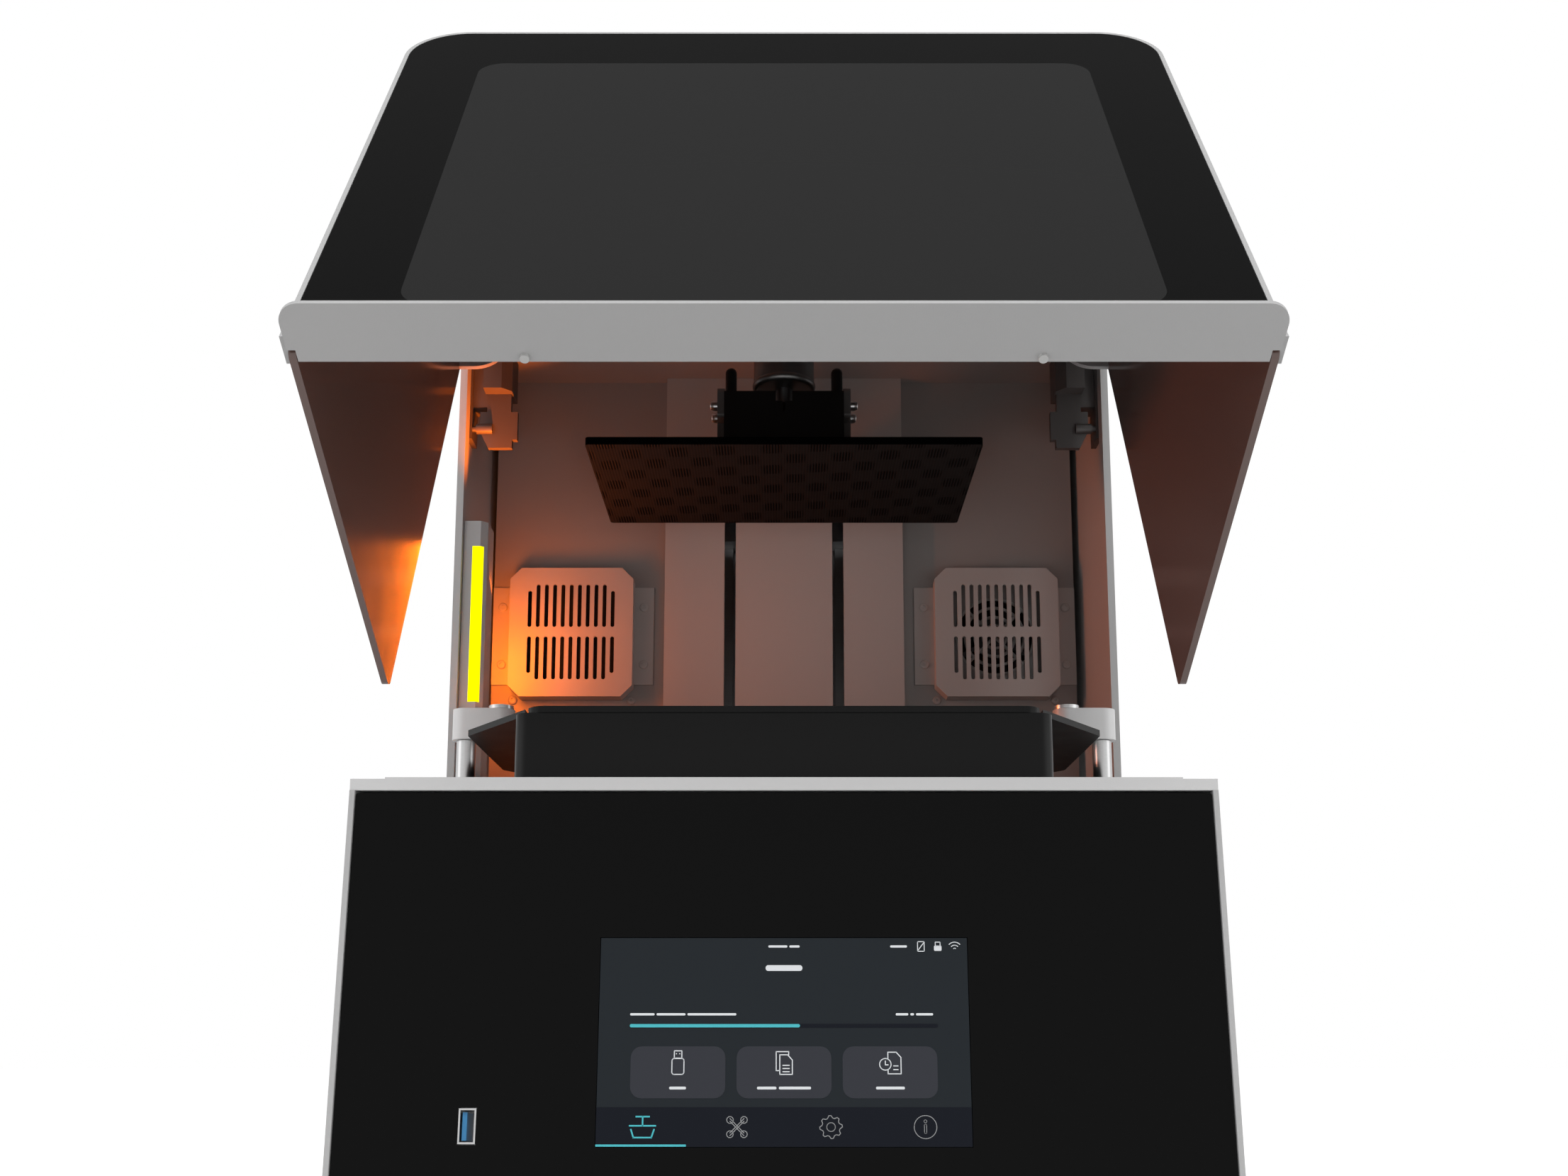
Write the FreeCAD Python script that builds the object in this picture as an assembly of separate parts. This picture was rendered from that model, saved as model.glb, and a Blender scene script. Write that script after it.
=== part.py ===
import FreeCAD, Part
import math
import os

# A desktop resin printer with a flip-up hood. Millimetres, X to the right, Y to the rear,
# Z up from the desk. The hood is stored raised, the build plate near the top of its travel.

# Cabinet
cabinet_width = 375.0
side_sheet = 2.3
front_reach = 121.6
rear_reach = 260.0
front_lean = 5.0
deck_height = 224.3
deck_sheet = 5.0
deck_lip_rise = 0.7
deck_lip_depth = 4.0
deck_lip_inset = 15.0
foot_height = 14.0
foot_radius = 16.0
foot_taper = 3.0
foot_inset = 40.0
tray_sheet = 1.5
tray_flange = 20.0
rear_sheet = 2.0

# Tower behind the print chamber
tower_depth = 191.0
tower_rise = 305.2
tower_corner = 8.0
top_sheet = 2.0
top_flange = 14.0
hem_width = 4.0
hem_depth = 10.0
wall_setback = 88.0
wall_sheet = 1.5
wall_side_gap = 4.2

# Front panel of the lower cabinet, its touch screen and its memory stick socket
panel_thickness = 4.0
panel_inset = 1.2
panel_gap = 0.4
panel_deck_gap = 1.0
screen_width = 154.2
screen_height = 85.9
screen_drop = 112.1
screen_frame = 6.0
screen_body = 7.0
seat_gap = 0.3
socket_width = 7.2
socket_height = 14.3
socket_depth = 16.0
socket_wall = 0.7
socket_offset = 130.0
socket_drop = 146.8
tongue_thickness = 1.9
tongue_recess = 1.5

# Exposure screen in the deck, a little larger than the build plate
exposure_side_margin = 2.0
exposure_end_margin = 4.0
exposure_rim = 6.0
exposure_sheet = 4.5

# Resin vat, which fills the space between the hood's front, the lift cover and the clamp posts
vat_front_gap = 34.6
vat_rear_gap = 25.0
vat_post_gap = 17.6
vat_height = 39.7
vat_wall = 4.0
vat_floor = 3.0
vat_corner = 8.0
vat_flange = 3.0
flange_overhang = 0.8
flange_corner_cut = 10.0
wing_reach = 32.0
wing_length = 98.0
film_thickness = 0.3
film_ring = 2.5
film_ring_width = 14.0
film_margin = 4.0

# Vat clamps
post_radius = 5.2
post_height = 49.7
post_inset = 13.9
post_tower_gap = 17.0
stud_radius = 3.0
stud_length = 13.0
clamp_height = 17.0
clamp_radius = 7.6
clamp_reach = 18.6
thumb_radius = 6.8
thumb_head = 2.0
thumb_shank = 2.5
slot_width = 1.4
slot_depth = 1.0
running_gap = 0.05
face_gap = 0.3

# Build plate, its holder and the arms
plate_side_gap = 24.0
plate_end_gap = 45.0
plate_thickness = 4.0
plate_lift = 183.6
bracket_base = 3.0
holder_width = 63.0
holder_depth = 58.0
holder_height = 35.0
holder_notch = 8.6
holder_notch_depth = 5.5
arm_sheet = 4.0
arm_height = 17.0
arm_overlap = 10.0
arm_step = 13.0
arm_tail_height = 26.0
cheek_height = 25.0
cheek_depth = 34.0
bolt_radius = 2.8
bolt_head = 4.2
knob_radius = 16.4
knob_height = 31.0
skirt_radius = 17.1
skirt_height = 4.0
stem_radius = 5.0
stem_height = 12.0
pillar_radius = 3.0
pillar_height = 15.0
pillar_inset = 3.5

# Lift drive behind the slotted cover
cover_width = 148.0
cover_rise = 7.0
cover_sheet = 1.5
slot_side_gap = 1.5
slot_end_gap = 4.0
travel_down = 180.1
travel_up = 16.5
column_width = 120.0
column_thickness = 8.0
column_gap = 8.0
rail_width = 12.0
rail_depth = 8.0
rail_spacing = 80.0
rail_gap = 0.3
runner_width = 26.0
runner_length = 24.0
runner_cap = 7.7
carriage_width = 110.0
carriage_height = 56.0
carriage_thickness = 8.0
screw_radius = 5.0
motor_rear_gap = 15.85
nut_width = 26.0
nut_height = 26.0
bearing_height = 12.0
bearing_width = 36.0
bearing_gap = 4.0
screw_lift = 3.0
screw_journal = 4.0
motor_size = 42.3
motor_length = 48.0
motor_corner = 5.0
motor_boss = 11.0
motor_boss_height = 2.0

# Hood, drawn closed and then raised
hood_rise = 307.2
hood_open_angle = 30.5
hood_gap = 2.5
hood_rest_gap = 2.0
hood_sheet = 2.0
hood_corner = 30.0
hood_band = 59.0
hood_frame_width = 28.0
hood_frame_corner = 15.0
hood_glue_strip = 10.0
hood_post = 12.0
hood_panel = 3.0
window_sheet = 3.0
window_corner = 4.0
window_overlap = 8.0
lip_sheet = 1.8
lip_front = 15.0
lip_depth = 25.0
lip_side_inset = 2.0
lip_corner = 9.0
lip_upstand = 18.0
bumper_radius = 1.8
bumper_length = 1.6
bumper_offset = 97.0

# Hood hinges
pivot_setback = 12.5
pivot_drop = 7.4
hinge_pin = 3.0
hinge_eye = 7.0
hinge_centre_inset = 20.5
ear_width = 8.0
lug_sheet = 2.5
lug_foot = 2.0
lug_foot_height = 46.0
hinge_post_width = 16.0
hinge_post_depth = 24.0
hinge_post_height = 24.7
hinge_body_width = 22.0
hinge_body_height = 17.0
hinge_neck_height = 11.0
hinge_toe_height = 5.0
hinge_leaf = 4.0
hinge_leaf_setback = 9.5
hinge_stay = 1.8
hinge_stay_head = 3.0
hinge_notch_gap = 3.0
hinge_wall_plate = 3.0

# Air grilles on the chamber wall, the fan and the filter behind them
grille_cover_gap = 7.0
grille_lift = 136.4
grille_height = 81.2
grille_depth = 12.0
grille_chamfer = 7.0
grille_sheet = 1.2
grille_tab = 12.0
grille_tab_height = 62.0
vent_columns = 11
vent_margin = 11.3
vent_width = 2.4
vent_length = 27.0
vent_end_length = 23.0
vent_row_gap = 6.0
fan_margin = 8.0
fan_depth = 15.0
fan_wall = 2.5
fan_hub_share = 0.2
fan_pitch = 38.0
fan_blades = 7
fan_tip_gap = 1.0
fan_axle = 1.5
cooler_size = 92.0
cooler_depth = 25.0
filter_margin = 3.0
filter_rim = 1.5
filter_depth = 20.0

# Working light on the left wall
lamp_width = 15.0
lamp_depth = 21.0
lamp_rise = 182.7
lamp_chamfer = 3.5
lamp_strip = 4.5
lamp_strip_depth = 5.0
lamp_strip_lift = 76.7
lamp_strip_length = 91.0
lamp_front_gap = 4.0

# Light engine, electronics and rear connections
box_flange = 2.0
box_flange_rim = 16.0
box_drop = 115.0
box_wall = 2.0
box_foot_width = 150.0
box_foot_depth = 96.0
box_mouth_width = 120.0
box_mouth_depth = 70.0
led_board_sheet = 1.6
sink_base = 6.0
sink_fin_height = 28.0
sink_fins = 11
sink_fin_sheet = 2.0
supply_length = 200.0
supply_height = 112.0
supply_width = 30.0
supply_inset = 4.0
terminal_depth = 8.0
terminal_length = 12.0
terminal_rear_gap = 4.0
terminal_end_gap = 12.0
board_length = 170.0
board_height = 110.0
board_sheet = 1.6
board_lift = 36.0
chip_height = 6.0
standoff_length = 6.0
standoff_radius = 3.0
inlet_width = 27.4
inlet_height = 20.0
inlet_flange = 3.5
inlet_flange_rim = 6.0
inlet_depth = 26.0
inlet_offset = 120.0
inlet_lift = 76.0
switch_width = 13.0
switch_height = 19.5
switch_depth = 16.0
switch_rim = 1.1
switch_drop = 28.0
rocker_swing = 14.0
rocker_gap = 1.2
rear_vent_count = 9
rear_vent_pitch = 9.0
rear_vent_width = 4.0
rear_vent_length = 60.0
rear_vent_drop = 78.0
tray_vent_count = 7
tray_vent_pitch = 12.0

# Places that follow from the sizes
half_width = cabinet_width / 2
inner_half = half_width - side_sheet
deck_under = deck_height - deck_sheet
tower_front = rear_reach - tower_depth
tower_top = deck_height + tower_rise
wall_face = tower_front + wall_setback
wall_back = wall_face + wall_sheet
roof_under = tower_top - top_sheet
vat_front = -front_reach + vat_front_gap
vat_rear = wall_face - cover_rise - vat_rear_gap
vat_depth = vat_rear - vat_front - 2 * flange_overhang
print_centre = (vat_front + vat_rear) / 2
post_side = half_width - post_inset
post_line = tower_front - post_tower_gap
vat_width = 2 * (post_side - vat_post_gap - wing_reach)
plate_width = vat_width - 2 * plate_side_gap
plate_depth = vat_depth - 2 * plate_end_gap
exposure_width = plate_width + 2 * exposure_side_margin
exposure_depth = plate_depth + 2 * exposure_end_margin
plate_low = deck_height + plate_lift
plate_top = plate_low + plate_thickness
holder_low = plate_top + bracket_base
holder_top = holder_low + holder_height
holder_half = holder_width / 2
holder_front = print_centre - holder_depth / 2
arm_low = holder_top - arm_overlap
arm_tail_low = arm_low + arm_step
screw_line = rear_reach - rear_sheet - motor_rear_gap - motor_size / 2
column_face = screw_line + column_gap
runner_face = column_face - rail_depth - rail_gap - runner_cap
carriage_front = runner_face - carriage_thickness
carriage_low = arm_tail_low - (carriage_height - arm_tail_height) / 2
vat_base = deck_height + film_ring + film_thickness
flange_top = deck_height + vat_height
hood_top = deck_height + hood_rise
hood_low = deck_height + hood_rest_gap
hood_rear = tower_front - hood_gap
hood_band_low = hood_top - hood_band
pivot_y = hood_rear + pivot_setback
pivot_z = tower_top - pivot_drop
post_top = deck_height + post_height
grille_centre = deck_height + grille_lift
grille_outer = inner_half - wall_side_gap - grille_tab
grille_inner = cover_width / 2 + grille_cover_gap + grille_tab
grille_width = grille_outer - grille_inner
grille_offset = (grille_outer + grille_inner) / 2
vent_pitch = (grille_width - 2 * vent_margin - vent_width) / (vent_columns - 1)
fan_size = min(grille_width, grille_height) - 2 * fan_margin
filter_size = min(grille_width, grille_height) - 2 * filter_margin

V = FreeCAD.Vector
RIGHT = V(1, 0, 0)
REAR = V(0, 1, 0)
UP = V(0, 0, 1)
LEAN = math.radians(front_lean)
PLANES = {
    "xy": (lambda a, b: V(a, b, 0), UP),
    "xz": (lambda a, b: V(a, 0, b), REAR),
    "yz": (lambda a, b: V(0, a, b), RIGHT),
}


def front_line(height):
    """Y of the leaning front plane at a height."""
    return -front_reach - (deck_height - height) * math.tan(LEAN)


def along_front(height):
    """Upright height of what lies at the given height once it leans."""
    return deck_height - (deck_height - height) / math.cos(LEAN)


def block(x_low, x_high, y_low, y_high, z_low, z_high):
    return Part.makeBox(x_high - x_low, y_high - y_low, z_high - z_low, V(x_low, y_low, z_low))


def rod(radius, start, end):
    return Part.makeCylinder(radius, (end - start).Length, start, end - start)


def rectangle(a_low, a_high, b_low, b_high, radius=0.0):
    """Corners of a rectangle, each with its rounding."""
    pairs = ((a_low, b_low), (a_high, b_low), (a_high, b_high), (a_low, b_high))
    return [(a, b, radius) for a, b in pairs]


def mirrored_outline(half):
    """Closes a right half outline, listed from bottom to top, with its mirror image."""
    return half + [(-a, b, radius) for a, b, radius in reversed(half)]


def closed_wire(plane, corners):
    """Closed wire of lines, with an arc at each corner that has a radius."""
    place = PLANES[plane][0]
    arcs = []
    for index, (a, b, radius) in enumerate(corners):
        here = place(a, b)
        back = place(*corners[index - 1][:2]) - here
        ahead = place(*corners[(index + 1) % len(corners)][:2]) - here
        back.normalize()
        ahead.normalize()
        if radius <= 0:
            arcs.append((here, None, here))
            continue
        half_angle = back.getAngle(ahead) / 2
        tangent = radius / math.tan(half_angle)
        inward = back + ahead
        inward.normalize()
        middle = here + inward * (radius / math.sin(half_angle) - radius)
        arcs.append((here + back * tangent, middle, here + ahead * tangent))
    edges = []
    for index, (start, middle, end) in enumerate(arcs):
        if middle is not None:
            edges.append(Part.Arc(start, middle, end).toShape())
        following = arcs[(index + 1) % len(arcs)][0]
        if (following - end).Length > 1e-6:
            edges.append(Part.LineSegment(end, following).toShape())
    return Part.Wire(edges)


def slab(plane, corners, low, high):
    """Outline in a plane, extruded across it from low to high."""
    normal = PLANES[plane][1]
    face = Part.Face(closed_wire(plane, corners))
    face.translate(normal * low)
    return face.extrude(normal * (high - low))


def turned(shape, centre, axis, angle):
    copy = shape.copy()
    copy.rotate(centre, axis, angle)
    return copy


def moved(shape, x=0.0, y=0.0, z=0.0):
    copy = shape.copy()
    copy.translate(V(x, y, z))
    return copy


def mirrored(shape):
    """The same piece on the other side of the cabinet."""
    return shape.mirror(V(0, 0, 0), RIGHT)


def leaning(shape):
    """Tilts an upright front piece back onto the front plane."""
    return turned(shape, V(0, -front_reach, deck_height), RIGHT, -front_lean)


def raised(shape):
    """Swings a closed hood piece up to the stored pose."""
    return turned(shape, V(0, pivot_y, pivot_z), RIGHT, -hood_open_angle)


def fused(first, *others):
    return first.multiFuse(list(others)).removeSplitter()


def save(name, *shapes):
    """Writes one node, a single solid or a group of like solids."""
    solids = [solid for shape in shapes for solid in shape.Solids]
    node = solids[0] if len(solids) == 1 else Part.makeCompound(solids)
    node.exportStep("parts/" + name + ".step")


def both_sides(right_piece):
    return [mirrored(right_piece), right_piece]


def save_pair(name, right_piece):
    save("right_" + name, right_piece)
    save("left_" + name, mirrored(right_piece))


def side_panel():
    """Sheet side of cabinet and tower in one piece, with a folded edge at the tower's front."""
    outline = [
        (front_line(foot_height), foot_height, 0),
        (rear_reach, foot_height, 0),
        (rear_reach, tower_top, 0),
        (tower_front, tower_top, tower_corner),
        (tower_front, deck_under, 0),
        (front_line(deck_under), deck_under, 0),
    ]
    sheet = slab("yz", outline, inner_half, half_width)
    hem = block(
        half_width - hem_width,
        inner_half,
        tower_front,
        tower_front + hem_depth,
        deck_height,
        tower_top - top_flange - hinge_notch_gap,
    )
    return fused(sheet, hem)


def base_tray():
    """Folded floor with side flanges and a field of vents under the cooler."""
    front = front_line(foot_height) + panel_inset
    back = rear_reach - rear_sheet
    floor = block(-inner_half, inner_half, front, back, foot_height, foot_height + tray_sheet)
    top = foot_height + tray_flange
    flange_front = front_line(top) + panel_inset + panel_thickness + 2 * panel_gap
    right = block(inner_half - tray_sheet, inner_half, flange_front, back, foot_height, top)
    tray = fused(floor, right, mirrored(right))
    for index in range(tray_vent_count):
        x = (index - (tray_vent_count - 1) / 2) * tray_vent_pitch
        vent = rectangle(x - rear_vent_width / 2, x + rear_vent_width / 2, -cooler_size / 2, cooler_size / 2)
        cutter = moved(slab("xy", vent, foot_height - 1, foot_height + 2 * tray_sheet), y=print_centre)
        tray = tray.cut(cutter)
    return tray


def feet():
    """Four tapered rubber feet."""
    foot = Part.makeCone(foot_radius - foot_taper, foot_radius, foot_height)
    front = front_line(foot_height) + foot_inset
    back = rear_reach - foot_inset
    side = half_width - foot_inset
    return [moved(foot, x, y) for x in (-side, side) for y in (front, back)]


def deck_plate():
    """Working top over the whole cabinet, open over the light engine, with a low lip at its front."""
    outline = [
        (-half_width, -front_reach, 0),
        (half_width, -front_reach, 0),
        (half_width, tower_front, 0),
        (inner_half, tower_front, 0),
        (inner_half, rear_reach - rear_sheet, 0),
        (-inner_half, rear_reach - rear_sheet, 0),
        (-inner_half, tower_front, 0),
        (-half_width, tower_front, 0),
    ]
    plate = slab("xy", outline, deck_under, deck_height)
    lip_half = half_width - deck_lip_inset
    lip = block(
        -lip_half,
        lip_half,
        -front_reach,
        -front_reach + deck_lip_depth,
        deck_height,
        deck_height + deck_lip_rise,
    )
    plate = fused(plate, lip)
    window_x = exposure_width / 2 + exposure_rim
    window_y = exposure_depth / 2 + exposure_rim
    window = rectangle(-window_x, window_x, print_centre - window_y, print_centre + window_y)
    plate = plate.cut(slab("xy", window, deck_under - 1, deck_height + 1))
    shaft_hole = motor_boss + seat_gap
    low = V(0, screw_line, deck_under - 1)
    return plate.cut(rod(shaft_hole, low, V(0, screw_line, deck_height + 1)))


def exposure_screen():
    """Masking screen and cover glass, let into the deck."""
    half_x = exposure_width / 2 + exposure_rim - seat_gap
    half_y = exposure_depth / 2 + exposure_rim - seat_gap
    outline = rectangle(-half_x, half_x, print_centre - half_y, print_centre + half_y)
    return slab("xy", outline, deck_under, deck_under + exposure_sheet)


def front_panel():
    """Gloss panel between the side sheets, open for the touch screen and the socket."""
    side = inner_half - panel_gap
    low = along_front(foot_height + tray_sheet + 2 * panel_gap)
    high = along_front(deck_under - panel_deck_gap)
    face = -front_reach + panel_inset
    panel = slab("xz", rectangle(-side, side, low, high, 1.0), face, face + panel_thickness)
    screen = touch_screen_outline(seat_gap)
    panel = panel.cut(slab("xz", screen, face - 1, face + panel_thickness + 1))
    socket = socket_outline(seat_gap)
    return leaning(panel.cut(slab("xz", socket, face - 1, face + panel_thickness + 1)))


def touch_screen_outline(margin):
    middle = deck_height - screen_drop
    half_x = screen_width / 2 + margin
    half_z = screen_height / 2 + margin
    return rectangle(-half_x, half_x, middle - half_z, middle + half_z)


def socket_outline(margin):
    middle = deck_height - socket_drop
    half_x = socket_width / 2 + margin
    half_z = socket_height / 2 + margin
    return rectangle(-socket_offset - half_x, -socket_offset + half_x, middle - half_z, middle + half_z)


def touch_screen():
    """Display glass flush in the panel, with its module behind."""
    face = -front_reach + panel_inset
    back = face + panel_thickness
    glass = slab("xz", touch_screen_outline(0), face, back)
    module = slab("xz", touch_screen_outline(screen_frame), back, back + screen_body)
    return leaning(fused(glass, module))


def stick_socket():
    """Metal shell of the upright memory stick socket, open to the front, closed at its back."""
    face = -front_reach + panel_inset
    shell = slab("xz", socket_outline(0), face, face + socket_depth)
    hollow = slab("xz", socket_outline(-socket_wall), face - 1, face + socket_depth - socket_wall)
    back = face + panel_thickness
    collar = slab("xz", socket_outline(3 * socket_wall), back, back + socket_wall)
    return leaning(fused(shell, collar).cut(hollow))


def socket_tongue():
    """Contact tongue inside the socket."""
    face = -front_reach + panel_inset
    middle = deck_height - socket_drop
    half_z = socket_height / 2 - 2 * socket_wall
    x_low = -socket_offset - socket_width / 2 + 2 * socket_wall
    outline = rectangle(x_low, x_low + tongue_thickness, middle - half_z, middle + half_z)
    back = face + socket_depth - socket_wall
    return leaning(slab("xz", outline, face + tongue_recess, back))


def rear_panel():
    """Rear sheet with the openings of the mains inlet, its switch and the air vents."""
    inside = rear_reach - rear_sheet
    outline = rectangle(-inner_half, inner_half, foot_height, roof_under)
    sheet = slab("xz", outline, inside, rear_reach)
    sheet = sheet.cut(slab("xz", inlet_outline(seat_gap), inside - 1, rear_reach + 1))
    sheet = sheet.cut(slab("xz", switch_outline(seat_gap), inside - 1, rear_reach + 1))
    for side in (-1, 1):
        for index in range(rear_vent_count):
            x = side * grille_offset + (index - (rear_vent_count - 1) / 2) * rear_vent_pitch
            low = grille_centre - rear_vent_drop - rear_vent_length / 2
            vent = rectangle(x - rear_vent_width / 2, x + rear_vent_width / 2, low, low + rear_vent_length)
            sheet = sheet.cut(slab("xz", vent, inside - 1, rear_reach + 1))
    return sheet


def inlet_middle():
    return foot_height + inlet_lift


def switch_middle():
    return inlet_middle() - switch_drop


def connector_outline(middle, width, height, margin):
    half_x = width / 2 + margin
    half_z = height / 2 + margin
    return rectangle(-inlet_offset - half_x, -inlet_offset + half_x, middle - half_z, middle + half_z)


def inlet_outline(margin):
    return connector_outline(inlet_middle(), inlet_width, inlet_height, margin)


def switch_outline(margin):
    return connector_outline(switch_middle(), switch_width, switch_height, margin)


def mains_inlet():
    """Inlet and switch housing in one moulding, with a deep recess round three contact blades."""
    inside = rear_reach - inlet_depth
    front = rear_reach + inlet_flange
    socket = slab("xz", inlet_outline(0), inside, rear_reach)
    switch_body = slab("xz", switch_outline(0), rear_reach - switch_depth, rear_reach)
    side = inlet_width / 2 + inlet_flange_rim
    low = switch_middle() - switch_height / 2 - inlet_flange_rim
    high = inlet_middle() + inlet_height / 2 + inlet_flange_rim
    rim = rectangle(-inlet_offset - side, -inlet_offset + side, low, high, inlet_flange_rim / 2)
    inlet = fused(socket, switch_body, slab("xz", rim, rear_reach, front))
    inlet = inlet.cut(slab("xz", inlet_outline(-2.0), inside + inlet_flange, front + 1))
    well = switch_outline(-switch_rim)
    inlet = inlet.cut(slab("xz", well, rear_reach - switch_depth + switch_rim, front + 1))
    blades = []
    for dx, dz in ((-7.0, -2.0), (0.0, 2.0), (7.0, -2.0)):
        x = -inlet_offset + dx
        z = inlet_middle() + dz
        blades.append(block(x - 1.0, x + 1.0, inside + 2, rear_reach - 2, z - 2.0, z + 2.0))
    return fused(inlet, *blades)


def switch_rocker():
    """Rocker paddle, resting with its upper half pressed in."""
    middle = switch_middle()
    half_z = switch_height / 2 - switch_rim - rocker_gap
    half_x = switch_width / 2 - switch_rim - seat_gap
    drop = half_z * math.tan(math.radians(rocker_swing / 2))
    face = rear_reach + inlet_flange
    back = rear_reach - inlet_flange
    outline = [
        (face - drop, middle + half_z, 0),
        (face, middle, 0),
        (face + drop, middle - half_z, 0),
        (back, middle - half_z / 3, 0),
        (back, middle + half_z / 3, 0),
    ]
    return moved(slab("yz", outline, -half_x, half_x), x=-inlet_offset)


def tower_roof():
    """Top sheet with a rounded front edge, notched for the hood's hinges."""
    low = tower_top - top_flange
    outline = [
        (tower_front, low, 0),
        (tower_front + top_sheet, low, 0),
        (tower_front + top_sheet, roof_under, tower_corner - top_sheet),
        (rear_reach, roof_under, 0),
        (rear_reach, tower_top, 0),
        (tower_front, tower_top, tower_corner),
    ]
    roof = slab("yz", outline, -inner_half, inner_half)
    hinge_x = half_width - hinge_centre_inset
    half_notch = ear_width / 2 + lug_sheet + 2 * face_gap + hinge_notch_gap
    back = pivot_y + pivot_setback + hinge_notch_gap
    notch = block(hinge_x - half_notch, hinge_x + half_notch, tower_front - 1, back, low - 1, tower_top + 1)
    return roof.cut(notch).cut(mirrored(notch))


def chamber_wall():
    """Back wall of the print chamber with openings for the lift drive and the air."""
    side = inner_half - wall_side_gap
    wall = slab("xz", rectangle(-side, side, deck_height, roof_under), wall_face, wall_back)
    gap_half = cover_width / 2 - grille_tab
    gap = rectangle(-gap_half, gap_half, deck_height - 1, roof_under - top_flange)
    wall = wall.cut(slab("xz", gap, wall_face - 1, wall_back + 1))
    centre = V(grille_offset, wall_face - 1, grille_centre)
    wall = wall.cut(rod(fan_size / 2 - 2 * fan_wall, centre, centre + REAR * (wall_sheet + 2)))
    return wall.cut(slab("xz", filter_outline(filter_rim, 0), wall_face - 1, wall_back + 1))


def lift_cover():
    """Shallow folded cover in front of the lift drive, slotted for the two arms."""
    face = wall_face - cover_rise
    half = cover_width / 2
    outline = [
        (-half, wall_face, 0),
        (-half, face, 0),
        (half, face, 0),
        (half, wall_face, 0),
        (half - cover_sheet, wall_face, 0),
        (half - cover_sheet, face + cover_sheet, 0),
        (-half + cover_sheet, face + cover_sheet, 0),
        (-half + cover_sheet, wall_face, 0),
    ]
    cover = slab("xy", outline, deck_height, roof_under)
    low = arm_tail_low - travel_down - slot_end_gap
    high = arm_tail_low + arm_tail_height + travel_up + slot_end_gap
    inner = holder_half - slot_side_gap
    outer = holder_half + arm_sheet + slot_side_gap
    slot = block(inner, outer, face - 1, face + cover_sheet + 1, low, high)
    return cover.cut(slot).cut(mirrored(slot))


def lift_column():
    """Upright on the deck for the rails, with the screw's top bearing in its head."""
    half = column_width / 2
    top = column_top()
    outline = rectangle(-half, half, deck_height, top, 6.0)
    outline[0] = (-half, deck_height, 0)
    outline[1] = (half, deck_height, 0)
    upright = slab("xz", outline, column_face, column_face + column_thickness)
    front = screw_line - screw_radius - 6 * rail_gap
    head = block(-bearing_width / 2, bearing_width / 2, front, column_face, top - bearing_height, top)
    low = V(0, screw_line, top - bearing_height - 1)
    return fused(upright, head).cut(rod(screw_radius + running_gap, low, V(0, screw_line, top + 1)))


def column_top():
    return carriage_low + carriage_height + travel_up + bearing_gap + bearing_height


def lift_rails():
    """Two profiled rails on the column."""
    rails = []
    for side in (-1, 1):
        x = side * rail_spacing / 2
        half = rail_width / 2
        waist = half - rail_depth / 4
        face = column_face - rail_depth
        outline = [
            (x - half, column_face, 0),
            (x - half, column_face - rail_depth / 3, 0),
            (x - waist, column_face - rail_depth / 2, 0),
            (x - half, face + rail_depth / 5, 0),
            (x - half, face, 0),
            (x + half, face, 0),
            (x + half, face + rail_depth / 5, 0),
            (x + waist, column_face - rail_depth / 2, 0),
            (x + half, column_face - rail_depth / 3, 0),
            (x + half, column_face, 0),
        ]
        rails.append(slab("xy", outline, deck_height + screw_lift, column_top() - bearing_height))
    return rails


def rail_runners():
    """Four bearing runners that ride on the rails."""
    runners = []
    face = column_face - rail_depth - rail_gap
    for side in (-1, 1):
        x = side * rail_spacing / 2
        half = runner_width / 2
        channel = rail_width / 2 + rail_gap
        outline = [
            (x - half, runner_face, 0),
            (x + half, runner_face, 0),
            (x + half, face + rail_depth / 2, 0),
            (x + channel, face + rail_depth / 2, 0),
            (x + channel, face, 0),
            (x - channel, face, 0),
            (x - channel, face + rail_depth / 2, 0),
            (x - half, face + rail_depth / 2, 0),
        ]
        for low in (carriage_low, carriage_low + carriage_height - runner_length):
            runners.append(slab("xy", outline, low, low + runner_length))
    return runners


def carriage_plate():
    """Plate that joins the runners, the nut and both arms."""
    half = carriage_width / 2
    outline = rectangle(-half, half, carriage_low, carriage_low + carriage_height, 5.0)
    return slab("xz", outline, carriage_front, runner_face)


def lead_nut():
    """Nut block on the back of the carriage, running on the screw."""
    half = nut_width / 2
    back = column_face - face_gap - rail_gap
    low = carriage_low + (carriage_height - nut_height) / 2
    nut = block(-half, half, runner_face, back, low, low + nut_height)
    bore = rod(screw_radius + running_gap, V(0, screw_line, low - 1), V(0, screw_line, low + nut_height + 1))
    return nut.cut(bore)


def lead_screw():
    """Lift screw on the motor's own shaft, held at the top by the column's bearing."""
    shoulder = V(0, screw_line, deck_height + screw_lift)
    foot = V(0, screw_line, deck_under - motor_length / 2 + face_gap)
    top = V(0, screw_line, column_top() - screw_lift)
    return fused(rod(screw_radius, shoulder, top), rod(screw_journal, foot, shoulder))


def lift_motor():
    """Square stepper motor hung under the deck, with its locating boss and a bore for the screw."""
    half = motor_size / 2
    low = deck_under - motor_length
    outline = [(x, y + screw_line, motor_corner) for x, y, _ in rectangle(-half, half, -half, half)]
    body = slab("xy", outline, low, deck_under)
    boss = rod(motor_boss, V(0, screw_line, deck_under), V(0, screw_line, deck_under + motor_boss_height))
    foot = V(0, screw_line, low + motor_length / 2)
    return fused(body, boss).cut(rod(screw_journal + running_gap, foot, V(0, screw_line, deck_height + 1)))


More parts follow.
